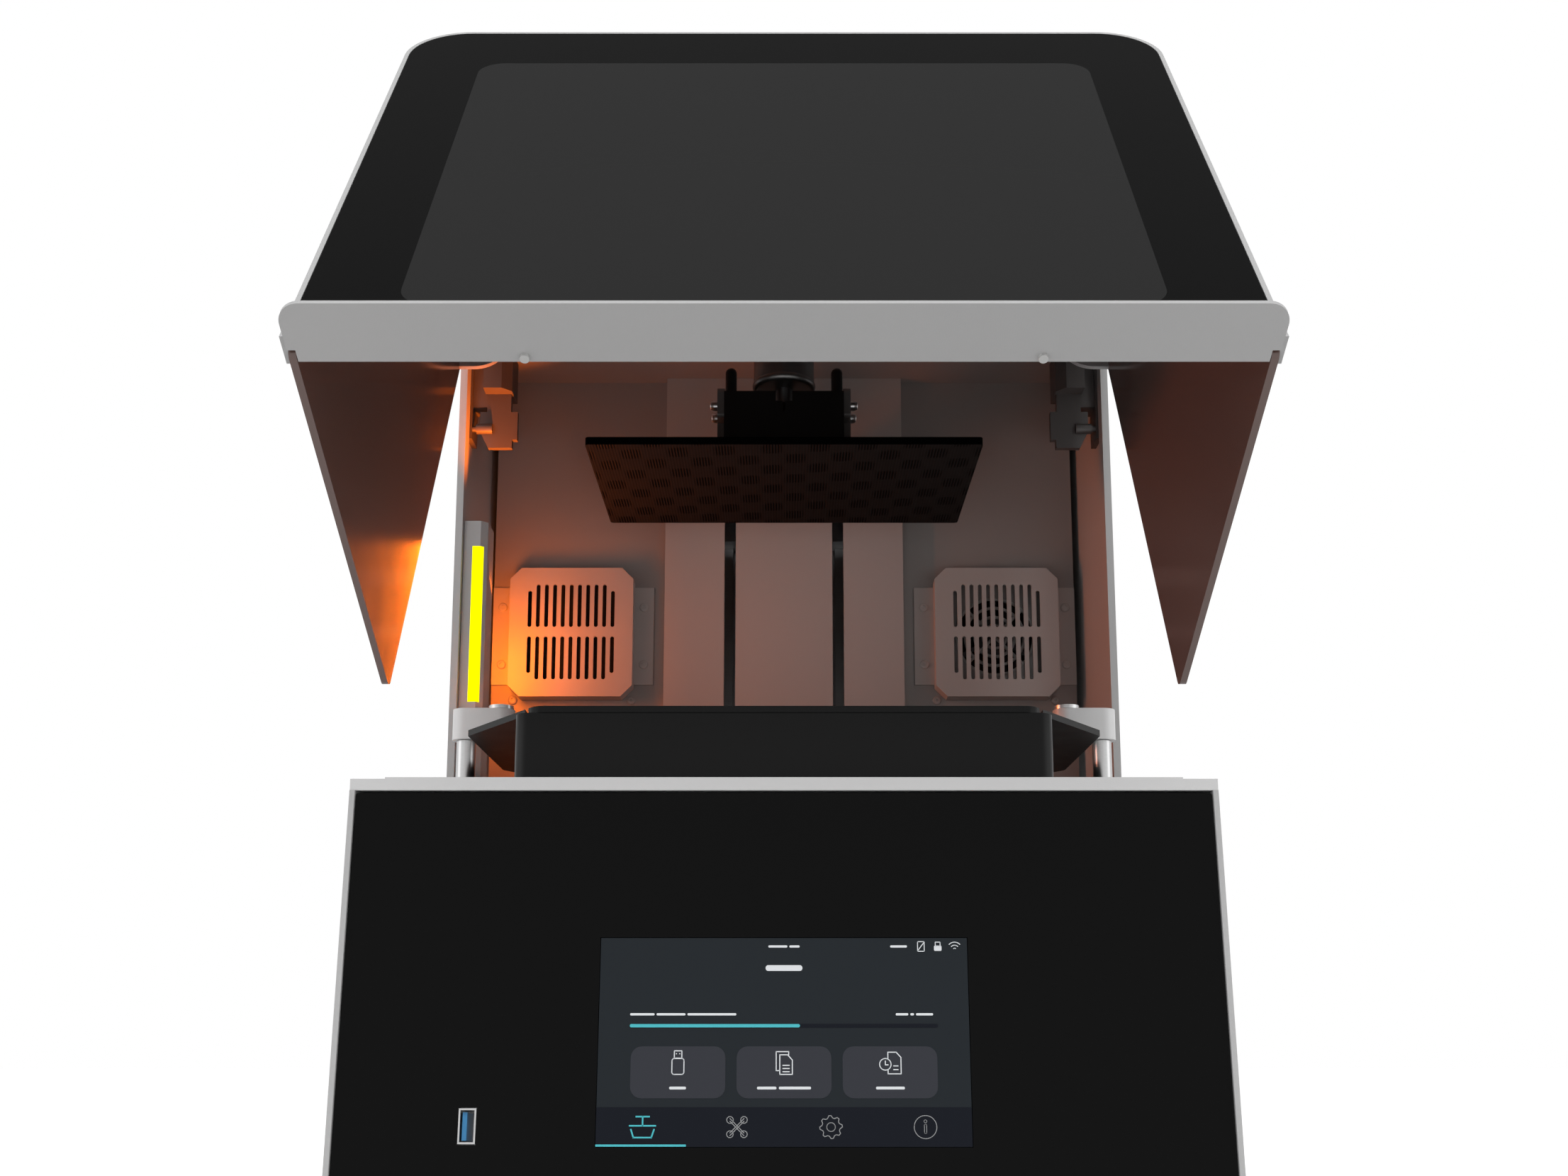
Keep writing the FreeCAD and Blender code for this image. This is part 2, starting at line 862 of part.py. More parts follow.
def vat_outline(margin, radius):
    half_x = vat_width / 2 - margin
    half_y = vat_depth / 2 - margin
    return rectangle(-half_x, half_x, print_centre - half_y, print_centre + half_y, radius)


def film_outline(margin, radius):
    half_x = plate_width / 2 + film_margin + margin
    half_y = plate_depth / 2 + film_margin + margin
    return rectangle(-half_x, half_x, print_centre - half_y, print_centre + half_y, radius)


def resin_vat():
    """Open tray with a winged rim that the clamps press on, and a film window in its floor."""
    tray = slab("xy", vat_outline(0, vat_corner), vat_base, flange_top - vat_flange)
    front = -vat_depth / 2 - flange_overhang
    nose = vat_width / 2 - flange_corner_cut
    wing = vat_width / 2 + wing_reach
    half = wing_length / 2
    outline = [
        (nose, print_centre + front, vat_corner),
        (wing, print_centre - half, flange_overhang),
        (wing, print_centre + half, flange_overhang),
        (nose, print_centre - front, vat_corner),
    ]
    rim = slab("xy", mirrored_outline(outline), flange_top - vat_flange, flange_top)
    vat = fused(tray, rim)
    inside = vat_outline(vat_wall, vat_corner - vat_wall)
    vat = vat.cut(slab("xy", inside, vat_base + vat_floor, flange_top + 1))
    window = film_outline(0, vat_corner - vat_wall)
    return vat.cut(slab("xy", window, vat_base - 1, vat_base + vat_floor + 1))


def release_film():
    """Clear film stretched under the vat's floor."""
    outline = film_outline(film_ring_width, vat_corner)
    return slab("xy", outline, deck_height + film_ring, vat_base)


def film_clamp_ring():
    """Metal ring that holds the film against the vat and stands on the deck."""
    ring = slab("xy", film_outline(film_ring_width, vat_corner), deck_height, deck_height + film_ring)
    opening = film_outline(0, vat_corner - vat_wall)
    return ring.cut(slab("xy", opening, deck_height - 1, deck_height + film_ring + 1))


def clamp_post():
    """Post on the deck with a thinner stud that the clamp turns on."""
    low = V(post_side, post_line, deck_height)
    top = V(post_side, post_line, post_top)
    return fused(rod(post_radius, low, top), rod(stud_radius, top, top + UP * stud_length))


def vat_clamp():
    """Round-ended clamp arm that swings over the vat's wing."""
    low = post_top + face_gap
    high = low + clamp_height
    tip = post_side - clamp_reach
    outline = [
        (tip - clamp_radius, post_line - clamp_radius, clamp_radius - 0.01),
        (post_side + clamp_radius, post_line - clamp_radius, clamp_radius - 0.01),
        (post_side + clamp_radius, post_line + clamp_radius, clamp_radius - 0.01),
        (tip - clamp_radius, post_line + clamp_radius, clamp_radius - 0.01),
    ]
    arm = slab("xy", outline, low, high)
    pivot_hole = rod(
        stud_radius + running_gap,
        V(post_side, post_line, low - 1),
        V(post_side, post_line, post_top + stud_length + face_gap),
    )
    screw_hole = rod(thumb_shank + running_gap, V(tip, post_line, low - 1), V(tip, post_line, high + 1))
    return arm.cut(pivot_hole).cut(screw_hole)


def clamp_screw():
    """Slotted thumb screw whose tip bears on the vat's wing."""
    tip_x = post_side - clamp_reach
    seat = post_top + face_gap + clamp_height + face_gap
    head = rod(thumb_radius, V(tip_x, post_line, seat), V(tip_x, post_line, seat + thumb_head))
    shank = rod(thumb_shank, V(tip_x, post_line, flange_top + face_gap), V(tip_x, post_line, seat))
    screw = fused(head, shank)
    top = seat + thumb_head
    slot = block(
        tip_x - thumb_radius - 1,
        tip_x + thumb_radius + 1,
        post_line - slot_width / 2,
        post_line + slot_width / 2,
        top - slot_depth,
        top + 1,
    )
    return screw.cut(slot)


def build_plate():
    """Plate that the prints grow on."""
    half_x = plate_width / 2
    half_y = plate_depth / 2
    outline = rectangle(-half_x, half_x, print_centre - half_y, print_centre + half_y, 2.0)
    return slab("xy", outline, plate_low, plate_top)


def plate_bracket():
    """Channel on the plate whose cheeks hold the holder block."""
    half = holder_half + arm_sheet
    base = block(-half, half, holder_front, holder_front + holder_depth, plate_top, holder_low)
    cheek_low = print_centre - cheek_depth / 2
    cheek_back = cheek_low + cheek_depth
    cheek = block(holder_half, half, cheek_low, cheek_back, holder_low, plate_top + cheek_height)
    return fused(base, cheek, mirrored(cheek))


def holder_block():
    """Clamping block with a sighting notch in its front edge."""
    back = holder_front + holder_depth
    body = block(-holder_half, holder_half, holder_front, back, holder_low, holder_top)
    half = holder_notch / 2
    low = holder_top - holder_notch_depth
    notch = block(-half, half, holder_front - 1, holder_front + holder_depth / 4, low, holder_top + 1)
    slit = block(
        -slot_width / 2,
        slot_width / 2,
        holder_front - 1,
        holder_front + holder_depth / 4,
        low - holder_notch_depth,
        low + 1,
    )
    return body.cut(notch).cut(slit)


def lift_arm():
    """Cranked plate from the holder's side through the cover's slot to the carriage."""
    nose = holder_front + arm_overlap
    knee = print_centre + plate_depth / 2
    tail_top = arm_tail_low + arm_tail_height
    outline = [
        (nose, arm_low, 2),
        (knee, arm_low, 4),
        (knee + arm_step, arm_tail_low, 4),
        (carriage_front, arm_tail_low, 0),
        (carriage_front, tail_top, 0),
        (knee, tail_top, 6),
        (knee - arm_tail_height, arm_low + arm_height, 6),
        (nose, arm_low + arm_height, 4),
    ]
    return slab("yz", outline, holder_half, holder_half + arm_sheet)


def arm_bolts():
    """Two bolts through each arm and two through each cheek."""
    face = holder_half + arm_sheet
    upper = arm_low + 0.6 * arm_height
    lower = plate_top + 0.68 * cheek_height
    bolts = []
    for dy in (-cheek_depth / 4, cheek_depth / 4):
        for z in (upper, lower):
            start = V(face, print_centre + dy, z)
            bolt = rod(bolt_radius, start, start + RIGHT * bolt_head)
            bolts.append(bolt)
            bolts.append(mirrored(bolt))
    return bolts


def plate_knob():
    """Turned clamping knob on a stem, with a round-edged skirt and a chamfered top."""
    low = holder_top + face_gap
    seat = low + stem_height
    shoulder = seat + skirt_height
    top = shoulder + knob_height
    round_off = 3.0
    rim = skirt_radius - skirt_height / 2
    profile = [
        Part.LineSegment(V(0, 0, low), V(stem_radius, 0, low)).toShape(),
        Part.LineSegment(V(stem_radius, 0, low), V(stem_radius, 0, seat)).toShape(),
        Part.LineSegment(V(stem_radius, 0, seat), V(rim, 0, seat)).toShape(),
        Part.Arc(
            V(rim, 0, seat),
            V(skirt_radius, 0, seat + skirt_height / 2),
            V(knob_radius, 0, shoulder),
        ).toShape(),
        Part.LineSegment(V(knob_radius, 0, shoulder), V(knob_radius, 0, top - round_off)).toShape(),
        Part.LineSegment(V(knob_radius, 0, top - round_off), V(knob_radius - round_off, 0, top)).toShape(),
        Part.LineSegment(V(knob_radius - round_off, 0, top), V(0, 0, top)).toShape(),
        Part.LineSegment(V(0, 0, top), V(0, 0, low)).toShape(),
    ]
    knob = Part.Face(Part.Wire(profile)).revolve(V(0, 0, 0), UP, 360)
    return moved(knob, y=print_centre)


def holder_pillars():
    """Two round-topped locating pillars on the holder's front edge."""
    pillars = []
    for side in (-1, 1):
        foot = V(side * (holder_half - pillar_inset), holder_front + 2 * pillar_radius, holder_top)
        top = foot + UP * (pillar_height - pillar_radius)
        ball = Part.makeSphere(pillar_radius, top, UP, 0, 90)
        pillars.append(fused(rod(pillar_radius, foot, top), ball))
    return pillars


def hood_outline(inset, low):
    """Cross-section of the hood: straight sides and two rounded top corners."""
    side = half_width - inset
    return mirrored_outline([(side, low, 0), (side, hood_top - inset, hood_corner - inset)])


def hood_ring(width, inset, low, foot_corner):
    """Flat inverted U inside the hood's cross-section, each leg rounded at its inner foot."""
    side = half_width - inset
    inner = half_width - width
    crown = hood_corner - inset
    hollow = hood_corner - hood_glue_strip
    return [
        (inner, low, foot_corner),
        (side, low, 0),
        (side, hood_top - inset, crown),
        (-side, hood_top - inset, crown),
        (-side, low, 0),
        (-inner, low, foot_corner),
        (-inner, hood_top - width, hollow),
        (inner, hood_top - width, hollow),
    ]


def hood_frame():
    """Bent sheet over the top with side bands, front posts, a glue strip and a rear frame."""
    skin = slab("xz", hood_outline(0, hood_band_low), -front_reach, hood_rear)
    hollow = slab("xz", hood_outline(hood_sheet, hood_band_low - 1), -front_reach - 1, hood_rear + 1)
    frame = skin.cut(hollow)
    low = hood_low + lip_sheet
    post_outline = [
        (front_line(low), low, 0),
        (front_line(low) + hood_post, low, 0),
        (front_line(hood_band_low) + hood_post, hood_band_low, 0),
        (front_line(hood_band_low), hood_band_low, 0),
    ]
    post = slab("yz", post_outline, half_width - hood_sheet, half_width)
    rear_outline = hood_ring(hood_frame_width, 0, hood_band_low, hood_frame_corner)
    rear = slab("xz", rear_outline, hood_rear - hood_sheet, hood_rear)
    back = -front_reach + hood_panel
    strip_low = along_front(low + 2 * seat_gap)
    strip_outline = hood_ring(hood_sheet + hood_glue_strip, hood_sheet, strip_low, 1.0)
    strip = slab("xz", strip_outline, back, back + hood_sheet)
    frame = fused(frame, post, mirrored(post), rear, leaning(strip))
    ahead = block(-half_width - 1, half_width + 1, -front_reach - hood_rise, -front_reach, 0, 2 * hood_top)
    return frame.cut(leaning(ahead))


def hood_front():
    """Gloss sheet across the hood's front with rounded top corners."""
    low = along_front(hood_low + lip_sheet + seat_gap)
    high = along_front(hood_top - hood_sheet - seat_gap)
    side = half_width - hood_sheet - seat_gap
    half = [(side, low, 0), (side, high, hood_corner - hood_sheet)]
    return leaning(slab("xz", mirrored_outline(half), -front_reach, -front_reach + hood_panel))


def hood_window():
    """Tinted side sheet, glued inside the post and the side band."""
    clear = hood_panel + hood_sheet + seat_gap
    top = hood_band_low + window_overlap
    rear_stop = hood_rear - hood_sheet - seat_gap
    outline = [
        (front_line(hood_low) + clear, hood_low, window_corner),
        (hood_rear, hood_low, window_corner),
        (hood_rear, hood_band_low - seat_gap, 0),
        (rear_stop, hood_band_low - seat_gap, 0),
        (rear_stop, top, 0),
        (front_line(top) + clear, top, 0),
    ]
    outer = half_width - hood_sheet
    return slab("yz", outline, outer - window_sheet, outer)


def hood_lip():
    """Pull lip along the hood's lower edge, with an upstand behind the front sheet."""
    side = half_width - lip_side_inset
    edge = front_line(hood_low)
    front = edge - lip_front
    outline = rectangle(-side, side, front, front + lip_depth, lip_corner)
    outline[2] = (side, front + lip_depth, 0)
    outline[3] = (-side, front + lip_depth, 0)
    plate = slab("xy", outline, hood_low, hood_low + lip_sheet)
    inner = half_width - hood_sheet - hood_glue_strip - seat_gap
    back = -front_reach + hood_panel
    low = along_front(hood_low + lip_sheet / 2)
    upstand = slab("xz", rectangle(-inner, inner, low, low + lip_upstand), back, back + hood_sheet)
    lip = fused(plate, leaning(upstand))
    window_notch = block(
        half_width - hood_sheet - window_sheet - seat_gap,
        half_width,
        edge + hood_panel + hood_sheet,
        front + lip_depth + 1,
        hood_low - 1,
        hood_low + lip_upstand,
    )
    return lip.cut(window_notch).cut(mirrored(window_notch))


def hood_bumpers():
    """Two soft pins under the lip that meet the deck."""
    y = front_line(hood_low) - lip_front + lip_depth - bumper_radius - seat_gap
    bumpers = []
    for side in (-1, 1):
        top = V(side * bumper_offset, y, hood_low)
        bumpers.append(rod(bumper_radius, top - UP * bumper_length, top))
    return bumpers


def hinge_x():
    return half_width - hinge_centre_inset


def hood_hinge_arm():
    """Foot plate on the hood's rear frame with two eyes round the fixed ear."""
    foot_low = hood_top - hood_sheet - seat_gap - lug_foot_height
    inner = ear_width / 2 + face_gap
    outer = inner + lug_sheet
    foot = block(
        hinge_x() - outer,
        hinge_x() + outer,
        hood_rear,
        hood_rear + lug_foot,
        foot_low,
        pivot_z + hinge_eye,
    )
    pivot = V(0, pivot_y, pivot_z)
    eye = rod(hinge_eye, pivot, pivot + RIGHT * lug_sheet)
    neck = block(0, lug_sheet, hood_rear, pivot_y, pivot_z - hinge_eye, pivot_z + hinge_eye)
    lug = fused(eye, neck)
    arm = fused(foot, moved(lug, x=hinge_x() - outer), moved(lug, x=hinge_x() + inner))
    hole_start = pivot + RIGHT * (hinge_x() - outer - 1)
    hole_end = pivot + RIGHT * (hinge_x() + outer + 1)
    return arm.cut(rod(hinge_pin + running_gap, hole_start, hole_end))


def hinge_pin_rod():
    """Hinge pin pressed into the fixed ear."""
    reach = ear_width / 2 + face_gap + lug_sheet + face_gap
    pivot = V(0, pivot_y, pivot_z)
    return rod(hinge_pin, pivot + RIGHT * (hinge_x() - reach), pivot + RIGHT * (hinge_x() + reach))


def hinge_bracket():
    """Fixed half of a hinge: post and leaf in one casting, tied to a plate on the side wall."""
    x = hinge_x()
    front = pivot_y - pivot_setback + hood_gap + hinge_notch_gap
    back = front + hinge_post_depth
    post_top = pivot_z - hinge_eye - hinge_notch_gap
    post_low = post_top - hinge_post_height
    neck_low = post_low - hinge_neck_height
    body_low = neck_low - hinge_body_height
    toe_low = body_low - hinge_toe_height
    half_post = hinge_post_width / 2
    half_body = hinge_body_width / 2
    chamfer = hinge_post_width / 3
    post_outline = [
        (x - half_post, front + chamfer, 0),
        (x - half_post + chamfer, front, 0),
        (x + half_post, front, 0),
        (x + half_post, back, 0),
        (x - half_post, back, 0),
    ]
    post = slab("xy", post_outline, post_low, post_top)
    leaf_front = front + hinge_leaf_setback
    leaf_back = leaf_front + hinge_leaf
    neck = half_post - hinge_wall_plate / 3
    toe_outer = half_body - hinge_toe_height
    toe_inner = half_body - hinge_wall_plate
    leaf_outline = [
        (x - neck, post_low, 0),
        (x - neck, neck_low, 0),
        (x - half_body, neck_low, 0),
        (x - half_body, body_low, 0),
        (x - toe_inner, body_low, 0),
        (x - toe_inner, toe_low, 0),
        (x + toe_outer, toe_low, 0),
        (x + half_body, body_low + hinge_toe_height, 0),
        (x + half_body, neck_low, 0),
        (x + neck, neck_low, 0),
        (x + neck, post_low, 0),
    ]
    leaf = slab("xz", leaf_outline, leaf_front, leaf_back)
    wall_front = tower_front + hem_depth + face_gap
    plate = block(inner_half - hinge_wall_plate, inner_half, wall_front, back, body_low, post_top)
    web = block(x, inner_half, leaf_front, back, neck_low + hinge_wall_plate, post_top)
    stay_line = V(0, leaf_front, body_low + hinge_toe_height + hinge_stay_head / 2)
    head_start = stay_line + RIGHT * (x + neck / 2)
    stay = rod(hinge_stay, head_start, stay_line + RIGHT * inner_half)
    stay_end = rod(hinge_stay_head, head_start, stay_line + RIGHT * (x + half_body + hinge_stay))
    pivot = V(0, pivot_y, pivot_z)
    ear_low = x - ear_width / 2
    ear = rod(hinge_eye, pivot + RIGHT * ear_low, pivot + RIGHT * (ear_low + ear_width))
    ear_high = ear_low + ear_width
    stem = block(ear_low, ear_high, pivot_y - hinge_eye, pivot_y + hinge_eye, post_top - 1, pivot_z)
    bracket = fused(post, leaf, plate, web, stay, stay_end, ear, stem)
    hole = rod(hinge_pin, pivot + RIGHT * (ear_low - 1), pivot + RIGHT * (ear_low + ear_width + 1))
    return bracket.cut(hole)


def grille_cover():
    """Chamfered sheet box with two rows of slots and a screw tab on each side."""
    x = grille_offset
    half = grille_width / 2
    tall = grille_height / 2
    face = wall_face - grille_depth
    outer = chamfered_rectangle(x, half, tall)
    inner = chamfered_rectangle(x, half - grille_sheet, tall - grille_sheet)
    cover = slab("xz", outer, face, wall_face)
    cover = cover.cut(slab("xz", inner, face + grille_sheet, wall_face + 1))
    tab_low = grille_centre - grille_tab_height / 2
    for low, high in ((x - half - grille_tab, x - half), (x + half, x + half + grille_tab)):
        tab = block(low, high, wall_face - grille_sheet, wall_face, tab_low, tab_low + grille_tab_height)
        cover = cover.fuse(tab)
    cutters = []
    for index in range(vent_columns):
        middle = x + (index - (vent_columns - 1) / 2) * vent_pitch
        length = vent_end_length if index in (0, vent_columns - 1) else vent_length
        for direction in (-1, 1):
            near = grille_centre + direction * vent_row_gap / 2
            far = near + direction * length
            low, high = min(near, far), max(near, far)
            left = middle - vent_width / 2
            vent = rectangle(left, left + vent_width, low, high, 0.49 * vent_width)
            cutters.append(slab("xz", vent, face - 1, face + 2 * grille_sheet))
    return cover.cut(Part.makeCompound(cutters)).removeSplitter()


def chamfered_rectangle(x, half, tall):
    c = grille_chamfer
    z = grille_centre
    return [
        (x - half + c, z - tall, 0),
        (x + half - c, z - tall, 0),
        (x + half, z - tall + c, 0),
        (x + half, z + tall - c, 0),
        (x + half - c, z + tall, 0),
        (x - half + c, z + tall, 0),
        (x - half, z + tall - c, 0),
        (x - half, z - tall + c, 0),
    ]


def grille_screws():
    """Round screw heads that hold both grilles and the wall beneath them."""
    screws = []
    for side in (-1, 1):
        for dx in (-1, 1):
            x = side * grille_offset + dx * (grille_width / 2 + grille_tab / 2)
            for dz in (-1, 1):
                z = grille_centre + dz * grille_tab_height / 3.4
                start = V(x, wall_face - grille_sheet, z)
                screws.append(rod(bolt_radius, start, start - REAR * grille_sheet))
            x = side * grille_offset + dx * (grille_width / 2 - grille_chamfer / 5)
            start = V(x, wall_face, grille_centre - grille_height / 2)
            screws.append(rod(bolt_radius, start, start - REAR * grille_sheet))
    return screws


def axial_fan(size, depth):
    """Frame and rotor of an axial fan, blowing along +Z from the origin."""
    half = size / 2
    duct = half - fan_wall
    hub_radius = size * fan_hub_share
    frame = slab("xy", rectangle(-half, half, -half, half, 2 * fan_wall), 0, depth)
    frame = frame.cut(rod(duct, V(0, 0, -1), V(0, 0, depth + 1)))
    seat = rod(hub_radius, V(0, 0, 0), V(0, 0, fan_wall))
    strut = block(0, duct + 1, -fan_wall / 2, fan_wall / 2, 0, fan_wall)
    frame = fused(frame, seat, *[turned(strut, V(0, 0, 0), UP, angle) for angle in (30, 150, 270)])
    frame = frame.cut(rod(fan_axle + running_gap, V(0, 0, -1), V(0, 0, fan_wall + 1)))
    low = fan_wall + face_gap
    high = depth - face_gap
    middle = (low + high) / 2
    hub = rod(hub_radius, V(0, 0, low), V(0, 0, high))
    axle = rod(fan_axle, V(0, 0, face_gap), V(0, 0, middle))
    reach = duct - fan_tip_gap
    chord = math.pi * hub_radius / fan_blades / math.cos(math.radians(fan_pitch))
    blade = block(hub_radius - 2, reach + 1, -chord, chord, middle - fan_wall / 4, middle + fan_wall / 4)
    blade = turned(blade, V(0, 0, middle), RIGHT, fan_pitch)
    step = 360 / fan_blades
    blades = [turned(blade, V(0, 0, 0), UP, step * index) for index in range(fan_blades)]
    rotor = fused(hub, axle, *blades)
    return frame, rotor.common(rod(reach, V(0, 0, 0), V(0, 0, high)))


def on_wall(shape):
    """Turns a piece built along +Z to blow rearwards from the chamber wall behind the right grille."""
    laid = turned(shape, V(0, 0, 0), RIGHT, -90)
    return moved(laid, grille_offset, wall_back, grille_centre)


def filter_outline(margin, radius):
    half = filter_size / 2 - margin
    x = -grille_offset
    return rectangle(x - half, x + half, grille_centre - half, grille_centre + half, radius)


def filter_cartridge():
    """Carbon filter box behind the left grille."""
    return slab("xz", filter_outline(0, filter_margin), wall_back, wall_back + filter_depth)


def lamp_housing():
    """Upright housing of the working light on the left wall."""
    wall = -inner_half
    front = tower_front + lamp_front_gap
    back = front + lamp_depth
    inner = wall + lamp_width
    hem_clear = tower_front + hem_depth + face_gap
    outline = [
        (wall, hem_clear, 0),
        (-half_width + hem_width + face_gap, hem_clear, 0),
        (-half_width + hem_width + face_gap, front, 0),
        (inner - lamp_chamfer, front, 0),
        (inner, front + lamp_chamfer, 0),
        (inner, back, 0),
        (wall, back, 0),
    ]
    housing = slab("xy", outline, deck_height, deck_height + lamp_rise)
    return housing.cut(lamp_strip_solid())


def lamp_strip_solid():
    low = deck_height + lamp_strip_lift
    inner = -inner_half + lamp_width
    front = tower_front + lamp_front_gap
    edge = inner - lamp_chamfer / 2
    outer = inner - lamp_chamfer - lamp_strip
    outline = [
        (outer, front, 0),
        (inner - lamp_chamfer, front, 0),
        (edge, front + lamp_chamfer / 2, 0),
        (edge, front + lamp_strip_depth, 0),
        (outer, front + lamp_strip_depth, 0),
    ]
    return slab("xy", outline, low, low + lamp_strip_length)


def light_box():
    """Tapered reflector that hangs under the deck, with a flange at each end."""
    high = deck_under
    low = deck_under - box_drop
    top = rectangle(-exposure_width / 2, exposure_width / 2, -exposure_depth / 2, exposure_depth / 2)
    mouth = rectangle(-box_mouth_width / 2, box_mouth_width / 2, -box_mouth_depth / 2, box_mouth_depth / 2)
    outside = tapered(mouth, low, top, high - box_flange, box_wall)
    inside = tapered(mouth, low - 0.01, top, high - box_flange + 0.01, 0)
    rim_x = exposure_width / 2 + box_flange_rim
    rim_y = exposure_depth / 2 + box_flange_rim
    rim = slab("xy", rectangle(-rim_x, rim_x, -rim_y, rim_y), high - box_flange, high)
    foot_x = box_foot_width / 2
    foot_y = box_foot_depth / 2
    foot = slab("xy", rectangle(-foot_x, foot_x, -foot_y, foot_y), low, low + box_flange)
    shell = fused(outside, rim, foot).cut(inside)
    shell = shell.cut(slab("xy", top, high - box_flange, high + 1))
    return moved(shell, y=print_centre)


def tapered(low_outline, low, high_outline, high, margin):
    """Straight loft between two rectangles, grown sideways by a margin."""
    wires = []
    for outline, height in ((low_outline, low), (high_outline, high)):
        grown = [(a + math.copysign(margin, a), b + math.copysign(margin, b), 0) for a, b, _ in outline]
        wire = closed_wire("xy", grown)
        wire.translate(UP * height)
        wires.append(wire)
    return Part.makeLoft(wires, True, True)


def engine_low():
    return deck_under - box_drop


def led_board():
    """Board of the exposure light."""
    half_x = box_foot_width / 2
    half_y = box_foot_depth / 2
    outline = rectangle(-half_x, half_x, print_centre - half_y, print_centre + half_y)
    return slab("xy", outline, engine_low() - led_board_sheet, engine_low())


def heat_sink():
    """Finned sink under the exposure light."""
    half_x = box_foot_width / 2
    half_y = box_foot_depth / 2
    top = engine_low() - led_board_sheet
    base = block(-half_x, half_x, -half_y, half_y, top - sink_base, top)
    foot = top - sink_base - sink_fin_height
    fins = []
    pitch = (box_foot_width - sink_fin_sheet) / (sink_fins - 1)
    for index in range(sink_fins):
        x = -half_x + index * pitch
        fins.append(block(x, x + sink_fin_sheet, -half_y, half_y, foot, foot + sink_fin_height))
    return moved(fused(base, *fins), y=print_centre)


def cooler_place(shape):
    """Puts the cooling fan under the fins, blowing upwards."""
    top = engine_low() - led_board_sheet - sink_base - sink_fin_height
    return moved(shape, y=print_centre, z=top - cooler_depth)


def power_supply():
    """Caged supply that stands on the tray along the right side, with a row of terminals."""
    outer = inner_half - tray_sheet - supply_inset
    low = foot_height + tray_sheet
    back = rear_reach - inlet_depth - supply_inset
    outline = rectangle(back - supply_length, back, low, low + supply_height, 2.0)
    cage = slab("yz", outline, outer - supply_width, outer)
    terminals = block(
        outer - supply_width - terminal_depth,
        outer - supply_width,
        back - terminal_rear_gap - terminal_length,
        back - terminal_rear_gap,
        low + terminal_end_gap,
        low + supply_height - terminal_end_gap,
    )
    return fused(cage, terminals)


def control_board():
    """Control board on the left wall with its larger components and pressed-in spacers."""
    x = -inner_half + standoff_length
    face = x + board_sheet
    low = foot_height + board_lift
    start = print_centre - board_length / 2
    board = block(x, face, start, start + board_length, low, low + board_height)
    chips = []
    shares = (
        (0.18, 0.28, 0.17, 0.28, 1.0),
        (0.47, 0.18, 0.11, 0.36, 2.0),
        (0.70, 0.56, 0.14, 0.22, 1.5),
        (0.24, 0.70, 0.30, 0.13, 1.7),
    )
    for along, above, wide, tall, thick in shares:
        near = start + along * board_length
        foot = low + above * board_height
        far = near + wide * board_length
        chips.append(block(face, face + thick * chip_height, near, far, foot, foot + tall * board_height))
    inset = standoff_radius + board_sheet
    for y in (start + inset, start + board_length - inset):
        for z in (low + inset, low + board_height - inset):
            chips.append(rod(standoff_radius, V(-inner_half, y, z), V(x, y, z)))
    return fused(board, *chips)


def write_cabinet():
    save_pair("side_panel", side_panel())
    save("base_tray", base_tray())
    save("rubber_feet", *feet())
    save("deck_plate", deck_plate())
    save("lower_front_panel", front_panel())
    save("touch_screen", touch_screen())
    save("memory_stick_socket", stick_socket())
    save("socket_tongue", socket_tongue())
    save("rear_panel", rear_panel())
    save("tower_roof", tower_roof())
    save("chamber_wall", chamber_wall())
    save("mains_inlet", mains_inlet())
    save("power_switch_rocker", switch_rocker())


def write_print_area():
    save("exposure_screen", exposure_screen())
    save("resin_vat", resin_vat())
    save("release_film", release_film())
    save("film_clamp_ring", film_clamp_ring())
    save("clamp_posts", *both_sides(clamp_post()))
    save_pair("vat_clamp", vat_clamp())
    save_pair("clamp_screw", clamp_screw())


def write_lift():
    save("build_plate", build_plate())
    save("plate_bracket", plate_bracket())
    save("holder_block", holder_block())
    save("lift_arms", *both_sides(lift_arm()))
    save("arm_bolts", *arm_bolts())
    save("plate_knob", plate_knob())
    save("holder_pillars", *holder_pillars())
    save("lift_cover", lift_cover())
    save("lift_column", lift_column())
    save("lift_rails", *lift_rails())
    save("rail_runners", *rail_runners())
    save("carriage_plate", carriage_plate())
    save("lead_nut", lead_nut())
    save("lead_screw", lead_screw())
    save("lift_motor", lift_motor())


def write_hood():
    save("hood_frame", raised(hood_frame()))
    save("hood_front", raised(hood_front()))
    save("hood_windows", *both_sides(raised(hood_window())))
    save("hood_lip", raised(hood_lip()))
    save("hood_bumpers", *[raised(bumper) for bumper in hood_bumpers()])
    save("hood_hinge_arms", *both_sides(raised(hood_hinge_arm())))
    save("hinge_brackets", *both_sides(hinge_bracket()))
    save("hinge_pins", *both_sides(hinge_pin_rod()))


def write_air_and_light():
    save("air_grilles", *both_sides(grille_cover()))
    save("grille_screws", *grille_screws())
    frame, rotor = axial_fan(fan_size, fan_depth)
    save("chamber_fan_frame", on_wall(frame))
    save("chamber_fan_rotor", on_wall(rotor))
    save("filter_cartridge", filter_cartridge())
    save("lamp_housing", lamp_housing())
    save("lamp_strip", lamp_strip_solid())
    save("light_box", light_box())
    save("exposure_led_board", led_board())
    save("heat_sink", heat_sink())
    cooler_frame, cooler_rotor = axial_fan(cooler_size, cooler_depth)
    save("cooler_frame", cooler_place(cooler_frame))
    save("cooler_rotor", cooler_place(cooler_rotor))
    save("power_supply", power_supply())
    save("control_board", control_board())


os.makedirs("parts", exist_ok=True)
write_cabinet()
write_print_area()
write_lift()
write_hood()
write_air_and_light()
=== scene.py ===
import math

